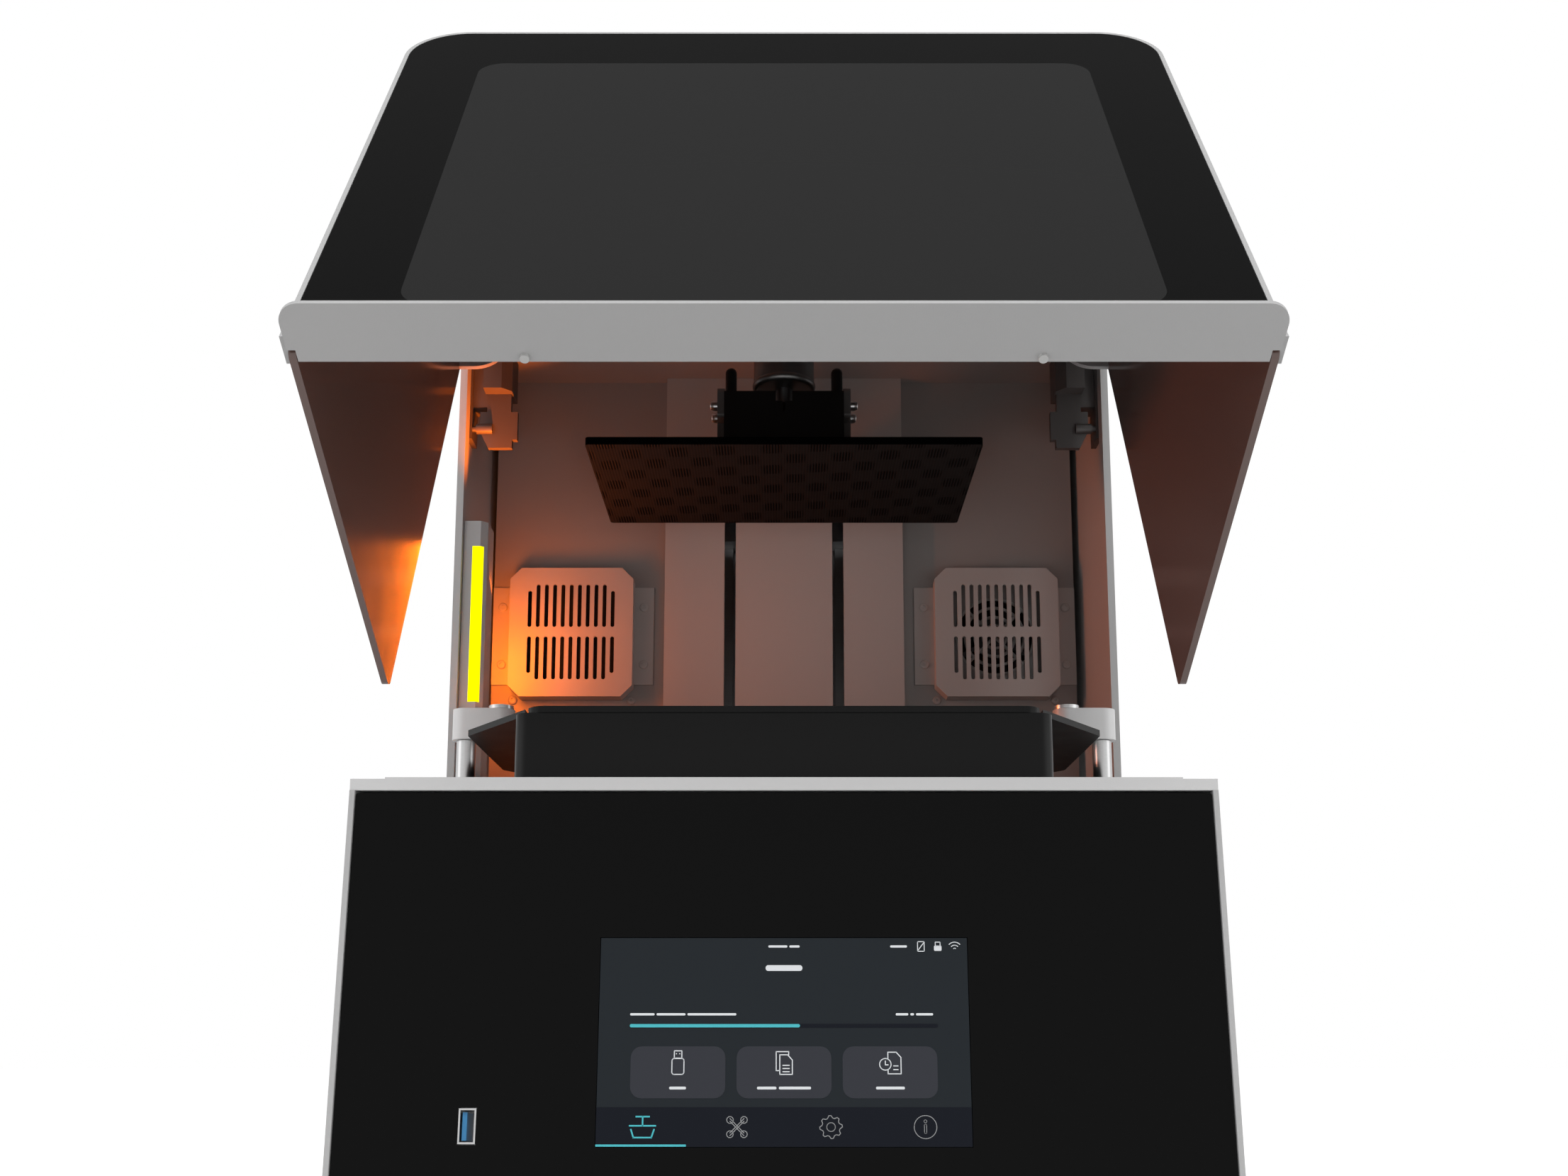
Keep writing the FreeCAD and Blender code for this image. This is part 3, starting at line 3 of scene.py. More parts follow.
import bmesh
import bpy
from bpy.props import FloatProperty, FloatVectorProperty, PointerProperty
from mathutils import Color, Matrix, Vector


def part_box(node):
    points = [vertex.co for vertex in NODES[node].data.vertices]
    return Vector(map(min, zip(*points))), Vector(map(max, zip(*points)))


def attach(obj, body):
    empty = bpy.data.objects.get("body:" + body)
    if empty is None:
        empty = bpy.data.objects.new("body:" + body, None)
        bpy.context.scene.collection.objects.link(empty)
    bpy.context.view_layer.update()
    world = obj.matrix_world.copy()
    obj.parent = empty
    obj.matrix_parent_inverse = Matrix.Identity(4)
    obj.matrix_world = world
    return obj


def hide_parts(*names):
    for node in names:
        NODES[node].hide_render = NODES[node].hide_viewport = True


bl_info = {
    "name": "Resin Printer Dresser",
    "version": (1, 0, 0),
    "blender": (4, 5, 0),
    "location": "View3D > Sidebar > Printer",
    "description": "Finishes and fine detail for a desktop resin printer with a flip-up hood",
    "category": "Object",
}

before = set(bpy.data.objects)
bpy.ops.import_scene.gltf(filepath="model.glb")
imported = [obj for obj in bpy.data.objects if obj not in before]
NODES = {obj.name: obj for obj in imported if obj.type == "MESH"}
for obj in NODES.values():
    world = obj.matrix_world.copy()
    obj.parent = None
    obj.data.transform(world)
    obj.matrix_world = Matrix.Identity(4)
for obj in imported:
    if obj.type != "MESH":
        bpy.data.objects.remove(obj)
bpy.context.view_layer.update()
PREFIX = "printer_"

ACROSS = (1.0, 0.0, 0.0)
FORWARD = (0.0, -1.0, 0.0)
REARWARD = (0.0, 1.0, 0.0)
UPWARD = (0.0, 0.0, 1.0)
DOWNWARD = (0.0, 0.0, -1.0)


def colour(name, description, default):
    return FloatVectorProperty(
        name=name, description=description, default=default, subtype="COLOR", size=3, min=0.0, max=1.0
    )


def grey(name, description, value):
    return colour(name, description, (value, value, value))


def length(name, description, default):
    return FloatProperty(
        name=name, description=description, default=default, subtype="DISTANCE", unit="LENGTH"
    )


class PrinterColours(bpy.types.PropertyGroup):
    """Colours of the printer's finishes, in linear light; the hinges' grey and the inner sides of the
    rear sheet and the roof are darkened as painted shade.
    """

    sheet_grey: grey("Sheet grey", "Powder coat of the cabinet and the hood", 0.46)
    deck_grey: grey("Deck grey", "Powder coat of the deck", 0.63)
    chamber_grey: colour("Chamber grey", "Grey coat inside the print chamber", (0.30, 0.285, 0.275))
    # The next two colours darken the roof's underside and the rear sheet's inner side: painted shade.
    roof_painted_shade: colour("Roof lining", "Underside of the tower's roof", (0.29, 0.28, 0.275))
    rear_painted_shade: grey("Rear lining", "Inner side of the rear sheet", 0.02)
    gloss_black: grey("Gloss black", "Printed back of the lower gloss sheet", 0.0026)
    hood_gloss: grey("Hood gloss", "Printed border of the hood's front sheet", 0.006)
    hood_tint: grey("Hood tint", "Clear field of the hood's front sheet", 0.024)
    smoked_acrylic: colour("Smoked acrylic", "Side sheets of the hood", (0.115, 0.066, 0.055))
    satin_black: grey("Satin black", "Vat, holder and pillars", 0.0028)
    fan_plastic: colour("Fan plastic", "Black of the fans", (0.012, 0.012, 0.013))
    filter_foam: grey("Filter foam", "Black of the air filter", 0.010)
    inlet_plastic: grey("Inlet plastic", "Black of the mains inlet", 0.014)
    rocker_plastic: grey("Rocker plastic", "Black of the power switch", 0.02)
    foot_rubber: grey("Foot rubber", "Black of the feet", 0.012)
    # The hinges' grey is kept far darker than the other greys: painted shade on the hood's hinges.
    hinge_grey: colour("Hinge grey", "Cast hinges of the hood", (0.070, 0.062, 0.060))
    arm_grey: colour("Arm grey", "Lift arms and plate bracket", (0.135, 0.131, 0.128))
    knob_metal: grey("Knob metal", "Turned knob of the build plate", 0.18)
    stop_rubber: colour("Stop rubber", "Soft stops under the hood's lip", (0.55, 0.55, 0.54))
    guard_wire: colour("Guard wire", "Finger guard of the fan", (0.42, 0.41, 0.40))
    plate_line: grey("Plate line", "Lines cut under the build plate", 0.0004)
    plate_land: colour("Plate land", "Plate's underside between its lines", (0.014, 0.0132, 0.0128))
    clear_film: colour("Clear film", "Release film of the vat", (0.8, 0.85, 0.9))
    exposure_glass: colour("Exposure glass", "Screen under the vat", (0.008, 0.009, 0.012))
    bright_steel: grey("Bright steel", "Screws, pins and rails", 0.50)
    satin_aluminium: colour("Satin aluminium", "Column, carriage and heat sink", (0.45, 0.45, 0.46))
    lift_brass: colour("Lift brass", "Nut of the lift", (0.45, 0.30, 0.10))
    board_green: colour("Board green", "Solder mask of the boards", (0.01, 0.08, 0.03))
    tongue_blue: colour("Tongue blue", "Tongue of the memory stick socket", (0.03, 0.20, 0.42))
    lamp_glow: colour("Lamp glow", "Light of the working lamp", (1.0, 0.17, 0.006))
    lamp_diffuser: colour("Lamp diffuser", "Lit face of the working lamp", (1.0, 0.97, 0.0))
    screen_ground: colour("Screen ground", "Dark ground of the display", (0.0138, 0.0175, 0.0212))
    screen_shade: colour("Screen shade", "Foot row and bar track", (0.0048, 0.0062, 0.0105))
    screen_card: colour("Screen card", "Buttons on the display", (0.034, 0.036, 0.044))
    screen_mark: colour("Screen mark", "Light signs on the display", (0.64, 0.66, 0.68))
    screen_faint: colour("Screen faint", "Idle signs at the display's foot", (0.28, 0.285, 0.29))
    screen_accent: colour("Screen accent", "Progress bar and active sign", (0.07, 0.42, 0.47))
    backdrop: grey("Backdrop", "Floor and background", 1.0)


class PrinterSizes(bpy.types.PropertyGroup):
    """Sizes of the fine detail and of the camera's stand."""

    sheet_bevel: length("Sheet edge", "Rounding on cut sheet edges", 0.0004)
    block_bevel: length("Block edge", "Rounding on machined blocks", 0.0006)
    small_bevel: length("Small edge", "Rounding on the thumb screws", 0.0003)
    fine_bevel: length("Fine edge", "Rounding on the memory stick socket", 0.00015)
    window_side: length("Side border", "Black border at each side of the hood's field", 0.037)
    window_top: length("Top border", "Black border above the hood's field", 0.039)
    window_bottom: length("Bottom border", "Black border below the hood's field", 0.024)
    window_corner: length("Field corner", "Corner rounding of the hood's field", 0.012)
    ink_rise: length("Ink rise", "Thickness of the signs on the display", 0.00012)
    wire_radius: length("Wire radius", "Wire of the fan's finger guard", 0.0010)
    flange_depth: length("Flange depth", "Depth of the grilles' flanges on the wall", 0.0012)
    comb_pitch: length("Comb pitch", "Spacing of the lines under the build plate", 0.0015)
    leaf_width: length("Leaf width", "Spacing of the line clusters across the plate", 0.024)
    leaf_length: length("Leaf length", "Spacing of every second row of clusters", 0.029)
    camera_distance: length("Camera distance", "Camera in front of the origin", 0.790)
    camera_height: length("Camera height", "Camera above the desk", 0.112)
    camera_pitch: FloatProperty(
        name="Camera pitch",
        description="Upward tilt of the camera",
        default=math.radians(9.345),
        subtype="ANGLE",
    )


def tint(name, share=1.0):
    """A colour of the sidebar as plain numbers, or a share of it."""
    return tuple(share * value for value in getattr(bpy.context.scene.printer_colours, name))


def sizes():
    return bpy.context.scene.printer_sizes


# Node groups


def new_group(name, inputs, outputs):
    """Empty shader group with its sockets, as (group, input node, output node)."""
    group = bpy.data.node_groups.new(name, "ShaderNodeTree")
    kinds = {float: "Float", Vector: "Vector", Color: "Color"}
    for side, sockets in (("INPUT", inputs), ("OUTPUT", outputs)):
        for label, default in sockets.items():
            kind = "NodeSocket" + kinds[type(default)]
            socket = group.interface.new_socket(label, in_out=side, socket_type=kind)
            socket.default_value = (*default, 1.0) if kind == "NodeSocketColor" else default
    return group, group.nodes.new("NodeGroupInput"), group.nodes.new("NodeGroupOutput")


def feed(tree, socket, value):
    """Links another socket to this one, or sets its value."""
    if isinstance(value, bpy.types.NodeSocket):
        tree.links.new(value, socket)
    else:
        socket.default_value = value


def add_node(tree, kind, values):
    """Shader node whose named inputs are linked or set."""
    node = tree.nodes.new("ShaderNode" + kind)
    for label, value in values.items():
        feed(tree, node.inputs[label], value)
    return node


def math_node(tree, operation, *values):
    node = tree.nodes.new("ShaderNodeMath")
    node.operation = operation
    for socket, value in zip(node.inputs, values):
        feed(tree, socket, value)
    return node.outputs[0]


def vector_node(tree, operation, first, second):
    node = tree.nodes.new("ShaderNodeVectorMath")
    node.operation = operation
    feed(tree, node.inputs[0], first)
    feed(tree, node.inputs["Scale" if operation == "SCALE" else 1], second)
    return node.outputs["Value" if operation == "DOT_PRODUCT" else "Vector"]


def dot_node(tree, vector, direction):
    return vector_node(tree, "DOT_PRODUCT", vector, direction)


def noise_node(tree, vector, scale, detail):
    values = {"Vector": vector, "Scale": scale, "Detail": detail}
    return add_node(tree, "TexNoise", values).outputs["Fac"]


def object_place(tree):
    return tree.nodes.new("ShaderNodeTexCoord").outputs["Object"]


MID_GREY = Color((0.5, 0.5, 0.5))
FINISH = {"Colour": MID_GREY, "Roughness": 0.5, "Height": 0.0}
MASK = {"Mask": 0.0}


def put_out_finish(group, source, sink, tone, shine, height):
    """Varies a finish group's colour and roughness by a tone and a shine about nought."""
    factor = math_node(group, "MULTIPLY_ADD", tone, source.outputs["Tone Spread"], 1.0)
    varied = vector_node(group, "SCALE", source.outputs["Colour"], factor)
    spread, plain = source.outputs["Roughness Spread"], source.outputs["Roughness"]
    group.links.new(varied, sink.inputs["Colour"])
    group.links.new(math_node(group, "MULTIPLY_ADD", shine, spread, plain), sink.inputs["Roughness"])
    group.links.new(height, sink.inputs["Height"])


def coat_group(name):
    """Powder coat and moulded grain: fine orange peel, a slow drift of tone and faint handling marks."""
    inputs = {"Colour": MID_GREY, "Grain Scale": 1800.0, "Tone Spread": 0.06}
    inputs.update({"Roughness": 0.45, "Roughness Spread": 0.12})
    group, source, sink = new_group(name, inputs, FINISH)
    place = object_place(group)
    drift_scale, mark_scale = 9.0, 60.0
    grain = noise_node(group, place, source.outputs["Grain Scale"], 2.0)
    drift = noise_node(group, place, drift_scale, 2.0)
    marks = noise_node(group, place, mark_scale, 6.0)
    mixed = math_node(group, "MULTIPLY_ADD", drift, 0.5, math_node(group, "MULTIPLY", grain, 0.5))
    tone = math_node(group, "SUBTRACT", mixed, 0.5)
    shine = math_node(group, "SUBTRACT", marks, 0.5)
    put_out_finish(group, source, sink, tone, shine, grain)
    return group


def brushed_group(name):
    """Brushed metal: streaks drawn out along one axis."""
    inputs = {"Colour": MID_GREY, "Stretch": Vector((40.0, 1500.0, 1500.0)), "Tone Spread": 0.18}
    inputs.update({"Roughness": 0.32, "Roughness Spread": 0.15})
    group, source, sink = new_group(name, inputs, FINISH)
    drawn = vector_node(group, "MULTIPLY", object_place(group), source.outputs["Stretch"])
    streak = noise_node(group, drawn, 1.0, 3.0)
    centred = math_node(group, "SUBTRACT", streak, 0.5)
    put_out_finish(group, source, sink, centred, centred, streak)
    return group


def field_group(name):
    """Mask of a round-cornered rectangle on a flat sheet, one inside and nought outside."""
    inputs = {"Centre": Vector(), "Up": Vector(UPWARD)}
    inputs.update({"Half Width": 0.1, "Half Height": 0.1, "Corner": 0.01})
    group, source, sink = new_group(name, inputs, MASK)
    offset = vector_node(group, "SUBTRACT", object_place(group), source.outputs["Centre"])
    squares = []
    for direction, label in ((ACROSS, "Half Width"), (source.outputs["Up"], "Half Height")):
        distance = math_node(group, "ABSOLUTE", dot_node(group, offset, direction))
        flat = math_node(group, "SUBTRACT", source.outputs[label], source.outputs["Corner"])
        reach = math_node(group, "MAXIMUM", math_node(group, "SUBTRACT", distance, flat), 0.0)
        squares.append(math_node(group, "MULTIPLY", reach, reach))
    radius = math_node(group, "SQRT", math_node(group, "ADD", *squares))
    inside = math_node(group, "LESS_THAN", radius, source.outputs["Corner"])
    group.links.new(inside, sink.inputs["Mask"])
    return group


def facing_group(name):
    """Mask of the faces that look along a direction."""
    group, source, sink = new_group(name, {"Direction": Vector(UPWARD)}, MASK)
    normal = group.nodes.new("ShaderNodeNewGeometry").outputs["Normal"]
    along = dot_node(group, normal, source.outputs["Direction"])
    group.links.new(math_node(group, "GREATER_THAN", along, 0.5), sink.inputs["Mask"])
    return group


GROUPS = {
    "coat_grain": coat_group,
    "brushed_streaks": brushed_group,
    "printed_field": field_group,
    "facing_side": facing_group,
}


def place_group(tree, name, values):
    """Node group in a material, built at its first use, with the material's own values."""
    node = tree.nodes.new("ShaderNodeGroup")
    node.node_tree = bpy.data.node_groups.get(PREFIX + name) or GROUPS[name](PREFIX + name)
    for label, value in values.items():
        socket = node.inputs[label]
        socket.default_value = (*value, 1.0) if socket.type == "RGBA" else value
    return node


# Materials


def new_material(name):
    material = bpy.data.materials.new(PREFIX + name)
    material.use_nodes = True
    return material


def shader_of(material):
    return material.node_tree.nodes["Principled BSDF"]


def set_shader(material, label, value):
    feed(material.node_tree, shader_of(material).inputs[label], value)


def base_colour(material):
    """Socket that the shader takes its colour from."""
    return shader_of(material).inputs["Base Color"].links[0].from_socket


def add_bump(material, height, depth):
    """Relief of the given depth in metres."""
    bump = add_node(material.node_tree, "Bump", {"Distance": depth, "Height": height})
    set_shader(material, "Normal", bump.outputs["Normal"])


def add_finish(material, group, values, relief):
    """Feeds a finish group into the shader; without a relief its height is left out."""
    effect = place_group(material.node_tree, group, values)
    set_shader(material, "Base Color", effect.outputs["Colour"])
    set_shader(material, "Roughness", effect.outputs["Roughness"])
    if relief > 0:
        add_bump(material, effect.outputs["Height"], relief)


def coated(
    name, tone=None, roughness=0.45, grain=1800.0, relief=3e-5, spread=0.06, polish=0.12, specular=0.5
):
    """Powder coat, plastic, acrylic or film, in the colour of its own name where no tone is given.

    Spread and polish are how far the colour and the roughness vary.
    """
    material = new_material(name)
    values = {"Colour": tone or tint(name), "Grain Scale": grain, "Tone Spread": spread}
    values.update({"Roughness": roughness, "Roughness Spread": polish})
    add_finish(material, "coat_grain", values, relief)
    set_shader(material, "Specular IOR Level", specular)
    return material


def brushed(name, tone=None, stretch=(40.0, 1500.0, 1500.0), roughness=0.32, relief=1e-5):
    """Bare metal with a drawn or turned grain, its colour found in the same way."""
    material = new_material(name)
    values = {"Colour": tone or tint(name), "Stretch": stretch, "Roughness": roughness}
    add_finish(material, "brushed_streaks", values, relief)
    set_shader(material, "Metallic", 1.0)
    return material


def second_tone(material, mask, tone):
    """Lays another colour over a finish where the mask is one."""
    tree = material.node_tree
    blend = tree.nodes.new("ShaderNodeMix")
    blend.data_type = "RGBA"
    feed(tree, blend.inputs["Factor"], mask)
    feed(tree, blend.inputs["A"], base_colour(material))
    feed(tree, blend.inputs["B"], (*tone, 1.0))
    set_shader(material, "Base Color", blend.outputs["Result"])
    return material


def glowing(material, strength):
    """Lets a finish shine in its own colour."""
    set_shader(material, "Emission Color", base_colour(material))
    set_shader(material, "Emission Strength", strength)
    return material


SHEET_FINISH = {"roughness": 0.62, "specular": 0.25}
GLOSS_FINISH = {"roughness": 0.12, "grain": 300.0, "relief": 2e-6, "polish": 0.05}
SHARED_FINISHES = {
    "sheet_grey": (coated, SHEET_FINISH),
    "satin_black": (coated, {"roughness": 0.42, "specular": 0.35}),
    "fan_plastic": (coated, {"roughness": 0.5}),
    "bright_steel": (brushed, {}),
    "satin_aluminium": (brushed, {"roughness": 0.4}),
}


def shared(name):
    """Finish that several groups of pieces have, made at its first use."""
    maker, settings = SHARED_FINISHES[name]
    return bpy.data.materials.get(PREFIX + name) or maker(name, **settings)


def sheet_with_painted_shade(name, painted_shade, inward):
    """Coated sheet with another, darker tone as painted shade on the side that looks along the given
    direction.
    """
    material = coated(name, tint("sheet_grey"), **SHEET_FINISH)
    # Mask of the faces that get the painted shade.
    inside = place_group(material.node_tree, "facing_side", {"Direction": inward})
    return second_tone(material, inside.outputs["Mask"], tint(painted_shade))


# Pieces


def dress(material, *nodes, bevel=None):
    """Gives CAD nodes their finish and a fine rounding on their edges, by default that of a sheet."""
    width = sizes().sheet_bevel if bevel is None else bevel
    for node in nodes:
        piece = NODES[node]
        piece.data.materials.clear()
        piece.data.materials.append(material)
        if width > 0:
            edge = piece.modifiers.new("edge_rounding", "BEVEL")
            edge.width = width
            edge.segments = 2
            edge.limit_method = "ANGLE"
            edge.angle_limit = math.radians(40)


def solids(node):
    """Boxes of a node's separate solids, as (lowest corner, highest corner)."""
    mesh = bmesh.new()
    mesh.from_mesh(NODES[node].data)
    bmesh.ops.remove_doubles(mesh, verts=mesh.verts, dist=1e-6)
    seen = set()
    boxes = []
    for start in mesh.verts:
        if start in seen:
            continue
        seen.add(start)
        island = [start]
        for vertex in island:
            for edge in vertex.link_edges:
                neighbour = edge.other_vert(vertex)
                if neighbour not in seen:
                    seen.add(neighbour)
                    island.append(neighbour)
        low = Vector([min(vertex.co[axis] for vertex in island) for axis in range(3)])
        high = Vector([max(vertex.co[axis] for vertex in island) for axis in range(3)])
        boxes.append((low, high))
    mesh.free()
    return boxes


def front_plane(node):
    """Centre, up, outward normal, width and height of a node's largest face that looks forward."""
    mesh = NODES[node].data

    def way(face):
        return tuple(round(value, 2) for value in face.normal)

    def reach(face):
        return face.normal.dot(mesh.vertices[face.vertices[0]].co)

    areas = {}
    for face in mesh.polygons:
        if face.normal.y < -0.3:
            areas[way(face)] = areas.get(way(face), 0.0) + face.area
    best = max(areas, key=areas.get)
    faces = [face for face in mesh.polygons if way(face) == best]
    ahead = max(reach(face) for face in faces)
    faces = [face for face in faces if ahead - reach(face) < 1e-4]
    normal = faces[0].normal.copy()
    across = Vector(ACROSS)
    up = across.cross(normal)
    up = up if up.z > 0 else -up
    points = [mesh.vertices[index].co for face in faces for index in face.vertices]
    heights = [up.dot(point) for point in points]
    widths = [point.x for point in points]
    centre = across * (min(widths) + max(widths)) / 2
    centre += up * (min(heights) + max(heights)) / 2 + normal * normal.dot(points[0])
    return centre, up, normal, max(widths) - min(widths), max(heights) - min(heights)


def add_object(name, data):
    piece = bpy.data.objects.new(PREFIX + name, data)
    bpy.context.scene.collection.objects.link(piece)
    return piece


def add_mesh(name, mesh, material):
    """Finished mesh as an object with its material."""
    data = bpy.data.meshes.new(PREFIX + name)
    mesh.to_mesh(data)
    mesh.free()
    data.materials.append(material)
    return add_object(name, data)


def add_piece(name, mesh, body, material, slot):
    """Finished mesh as a piece that rides on a CAD body."""
    piece = add_mesh(name, mesh, material)
    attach(piece, body)
    return piece


def add_light(name, kind, place, aim, power):
    """Light at a place, looking along a direction, as (object, light)."""
    light = bpy.data.lights.new(PREFIX + name, kind)
    light.energy = power
    lamp = add_object(name, light)
    lamp.location = place
    lamp.rotation_euler = Vector(aim).to_track_quat("-Z", "Y").to_euler()
    return lamp, light


def add_panel_light(name, place, aim, size, power):
    lamp, light = add_light(name, "AREA", place, aim, power)
    light.shape = "RECTANGLE"
    light.size, light.size_y = size
    return lamp, light


def round_rect(width, height, corner, steps=5):
    """Points of a round-cornered rectangle about the origin."""
    points = []
    turns = ((1, 1, 0), (-1, 1, 90), (-1, -1, 180), (1, -1, 270))
    for sign_x, sign_y, start in turns:
        x = sign_x * (width / 2 - corner)
        y = sign_y * (height / 2 - corner)
        for step in range(steps + 1):
            angle = math.radians(start + 90 * step / steps)
            points.append((x + corner * math.cos(angle), y + corner * math.sin(angle)))
    return points


def arc(radius, start, end, count):
    """Evenly spaced points on an arc, both ends among them."""
    angles = [math.radians(start + (end - start) * index / (count - 1)) for index in range(count)]
    return [(radius * math.cos(angle), radius * math.sin(angle)) for angle in angles]


def polygon(count, radius):
    return arc(radius, 0, 360, count + 1)[:-1]


def shifted(points, x, y):
    return [(a + x, b + y) for a, b in points]


def add_skin(mesh, rings):
    """Closed skin over loops of points, from the lowest to the highest."""
    mesh.faces.new(list(reversed(rings[0])))
    mesh.faces.new(rings[-1])
    for lower, upper in zip(rings, rings[1:]):
        for index in range(len(lower)):
            after = (index + 1) % len(lower)
            mesh.faces.new((lower[index], lower[after], upper[after], upper[index]))


def add_tile(mesh, points, rise):
    """Flat sign with a thickness, added to a mesh in its own plane."""
    add_skin(mesh, [[mesh.verts.new((x, y, level)) for x, y in points] for level in (0.0, rise)])


def add_outline(mesh, points, stroke, rise, closed):
    """Line of even width along points, each run a tile of its own."""
    count = len(points) if closed else len(points) - 1
    for index in range(count):
        start = Vector(points[index])
        end = Vector(points[(index + 1) % len(points)])
        along = (end - start).normalized()
        side = Vector((-along.y, along.x)) * stroke / 2
        reach = along * stroke / 2
        corners = (start - reach - side, end + reach - side, end + reach + side, start - reach + side)
        add_tile(mesh, [tuple(corner) for corner in corners], rise)


def screw_head(mesh, start, direction, radius, height, socket, sides=20):
    """Domed screw head with a hexagon recess, standing on a face."""
    profile = (
        (radius, 0.0),
        (radius, 0.55 * height),
        (0.82 * radius, 0.88 * height),
        (1.18 * socket, height),
        (socket, height),
        (socket, 0.45 * height),
    )
    rings = []
    for ring_radius, level in profile:
        rings.append([mesh.verts.new((x, y, level)) for x, y in polygon(sides, ring_radius)])
    sixth = math.pi / 3
    for point in rings[-1] + rings[-2]:
        wedge = math.atan2(point.co.y, point.co.x) % sixth - sixth / 2
        point.co.xy = point.co.xy * (math.cos(sixth / 2) / math.cos(wedge))
    add_skin(mesh, rings)
    turn = direction.to_track_quat("Z", "Y").to_matrix().to_4x4()
    fresh = [vertex for ring in rings for vertex in ring]
    bmesh.ops.transform(mesh, matrix=Matrix.Translation(start) @ turn, verts=fresh)


def screw_heads(name, node, axis, side, socket_share, body, finish):
    """Replaces a node of plain heads with recessed ones, in a finish given as (material, slot), whose
    slot is not used.

    Side is the way along the axis that the heads look, or nought where they look away from the middle.
    """
    mesh = bmesh.new()
    for low, high in solids(node):
        centre = (low + high) / 2
        outward = side if side else math.copysign(1, centre[axis])
        direction = Vector([outward if index == axis else 0.0 for index in range(3)])
        start = centre.copy()
        start[axis] = low[axis] if outward > 0 else high[axis]
        across = (axis + 1) % 3
        radius = (high[across] - low[across]) / 2
        screw_head(mesh, start, direction, radius, high[axis] - low[axis], radius * socket_share)
    piece = add_piece(name, mesh, body, *finish)
    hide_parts(node)


# Signs of the display, in multiples of each sign's size: open lines, closed loops and filled tiles

PRINTER_SIGN = (
    ("line", [(-1.0, 0.1), (1.0, 0.1)]),
    ("line", [(0.0, 0.1), (0.0, 0.8)]),
    ("line", [(-0.5, 0.8), (0.5, 0.8)]),
    ("line", [(-0.9, -0.2), (-0.7, -0.8), (0.7, -0.8), (0.9, -0.2)]),
)
BARRED_SHEET_SIGN = (
    ("loop", round_rect(0.75, 1.1, 0.1)),
    ("line", [(-0.3, -0.4), (0.3, 0.4)]),
)
SMALL_STICK_SIGN = (
    ("fill", shifted(round_rect(0.85, 0.6, 0.12), 0.0, -0.2)),
    ("loop", shifted(round_rect(0.55, 0.5, 0.05), 0.0, 0.25)),
)
WAVES_SIGN = tuple(
    ("line", shifted(arc(radius, 45, 135, 7), 0.0, -0.35)) for radius in (0.15, 0.5, 0.85)
)
STICK_SIGN = (
    ("loop", shifted(round_rect(1.15, 1.5, 0.22), 0.0, -0.35)),
    ("loop", shifted(round_rect(0.72, 0.7, 0.05), 0.0, 0.78)),
    ("fill", shifted(round_rect(0.1, 0.1, 0.02), -0.16, 0.85)),
    ("fill", shifted(round_rect(0.1, 0.1, 0.02), 0.16, 0.85)),
)
SHEETS_SIGN = (
    ("line", [(0.45, 0.75), (0.45, 1.05), (-0.75, 1.05), (-0.75, -0.75), (-0.4, -0.75)]),
    ("loop", [(-0.4, 0.75), (0.35, 0.75), (0.8, 0.25), (0.8, -1.1), (-0.4, -1.1)]),
    *(("line", [(-0.1, level), (0.5, level)]) for level in (-0.25, -0.55, -0.85)),
)
PAST_SIGN = (
    ("line", [(-0.2, 0.35), (-0.2, 1.0), (0.6, 1.0), (1.05, 0.5)]),
    ("line", [(1.05, 0.5), (1.05, -1.05), (-0.2, -1.05), (-0.2, -0.65)]),
    ("loop", shifted(polygon(20, 0.55), -0.45, -0.15)),
    ("line", [(-0.45, 0.15), (-0.45, -0.2), (-0.2, -0.2)]),
    *(("line", [(0.35, level), (0.75, level)]) for level in (-0.3, -0.65)),
)


def tools_sign(reach=0.62, half_width=0.12, eye=0.3):
    """Two crossed tools, each a pair of lines with a ring at either end."""
    strokes = []
    for slope in (-1, 1):
        for side in (-half_width, half_width):
            strokes.append(("line", [(-reach, -slope * reach + side), (reach, slope * reach + side)]))
        for end in (-reach, reach):
            strokes.append(("loop", shifted(polygon(10, eye), end, slope * end)))
    return strokes


def gear_sign(teeth=8, root=0.8, hub=0.38):
    corners = polygon(4 * teeth, 1.0)
    for index in range(4 * teeth):
        if index % 4 > 1:
            corners[index] = (root * corners[index][0], root * corners[index][1])
    return [("loop", polygon(24, hub)), ("loop", corners)]


RING_SIGN = (("loop", polygon(36, 1.0)),)
STEM_SIGN = (
    ("loop", shifted(round_rect(0.2, 0.8, 0.08), 0.0, -0.15)),
    ("loop", shifted(polygon(10, 0.13), 0.0, 0.5)),
)


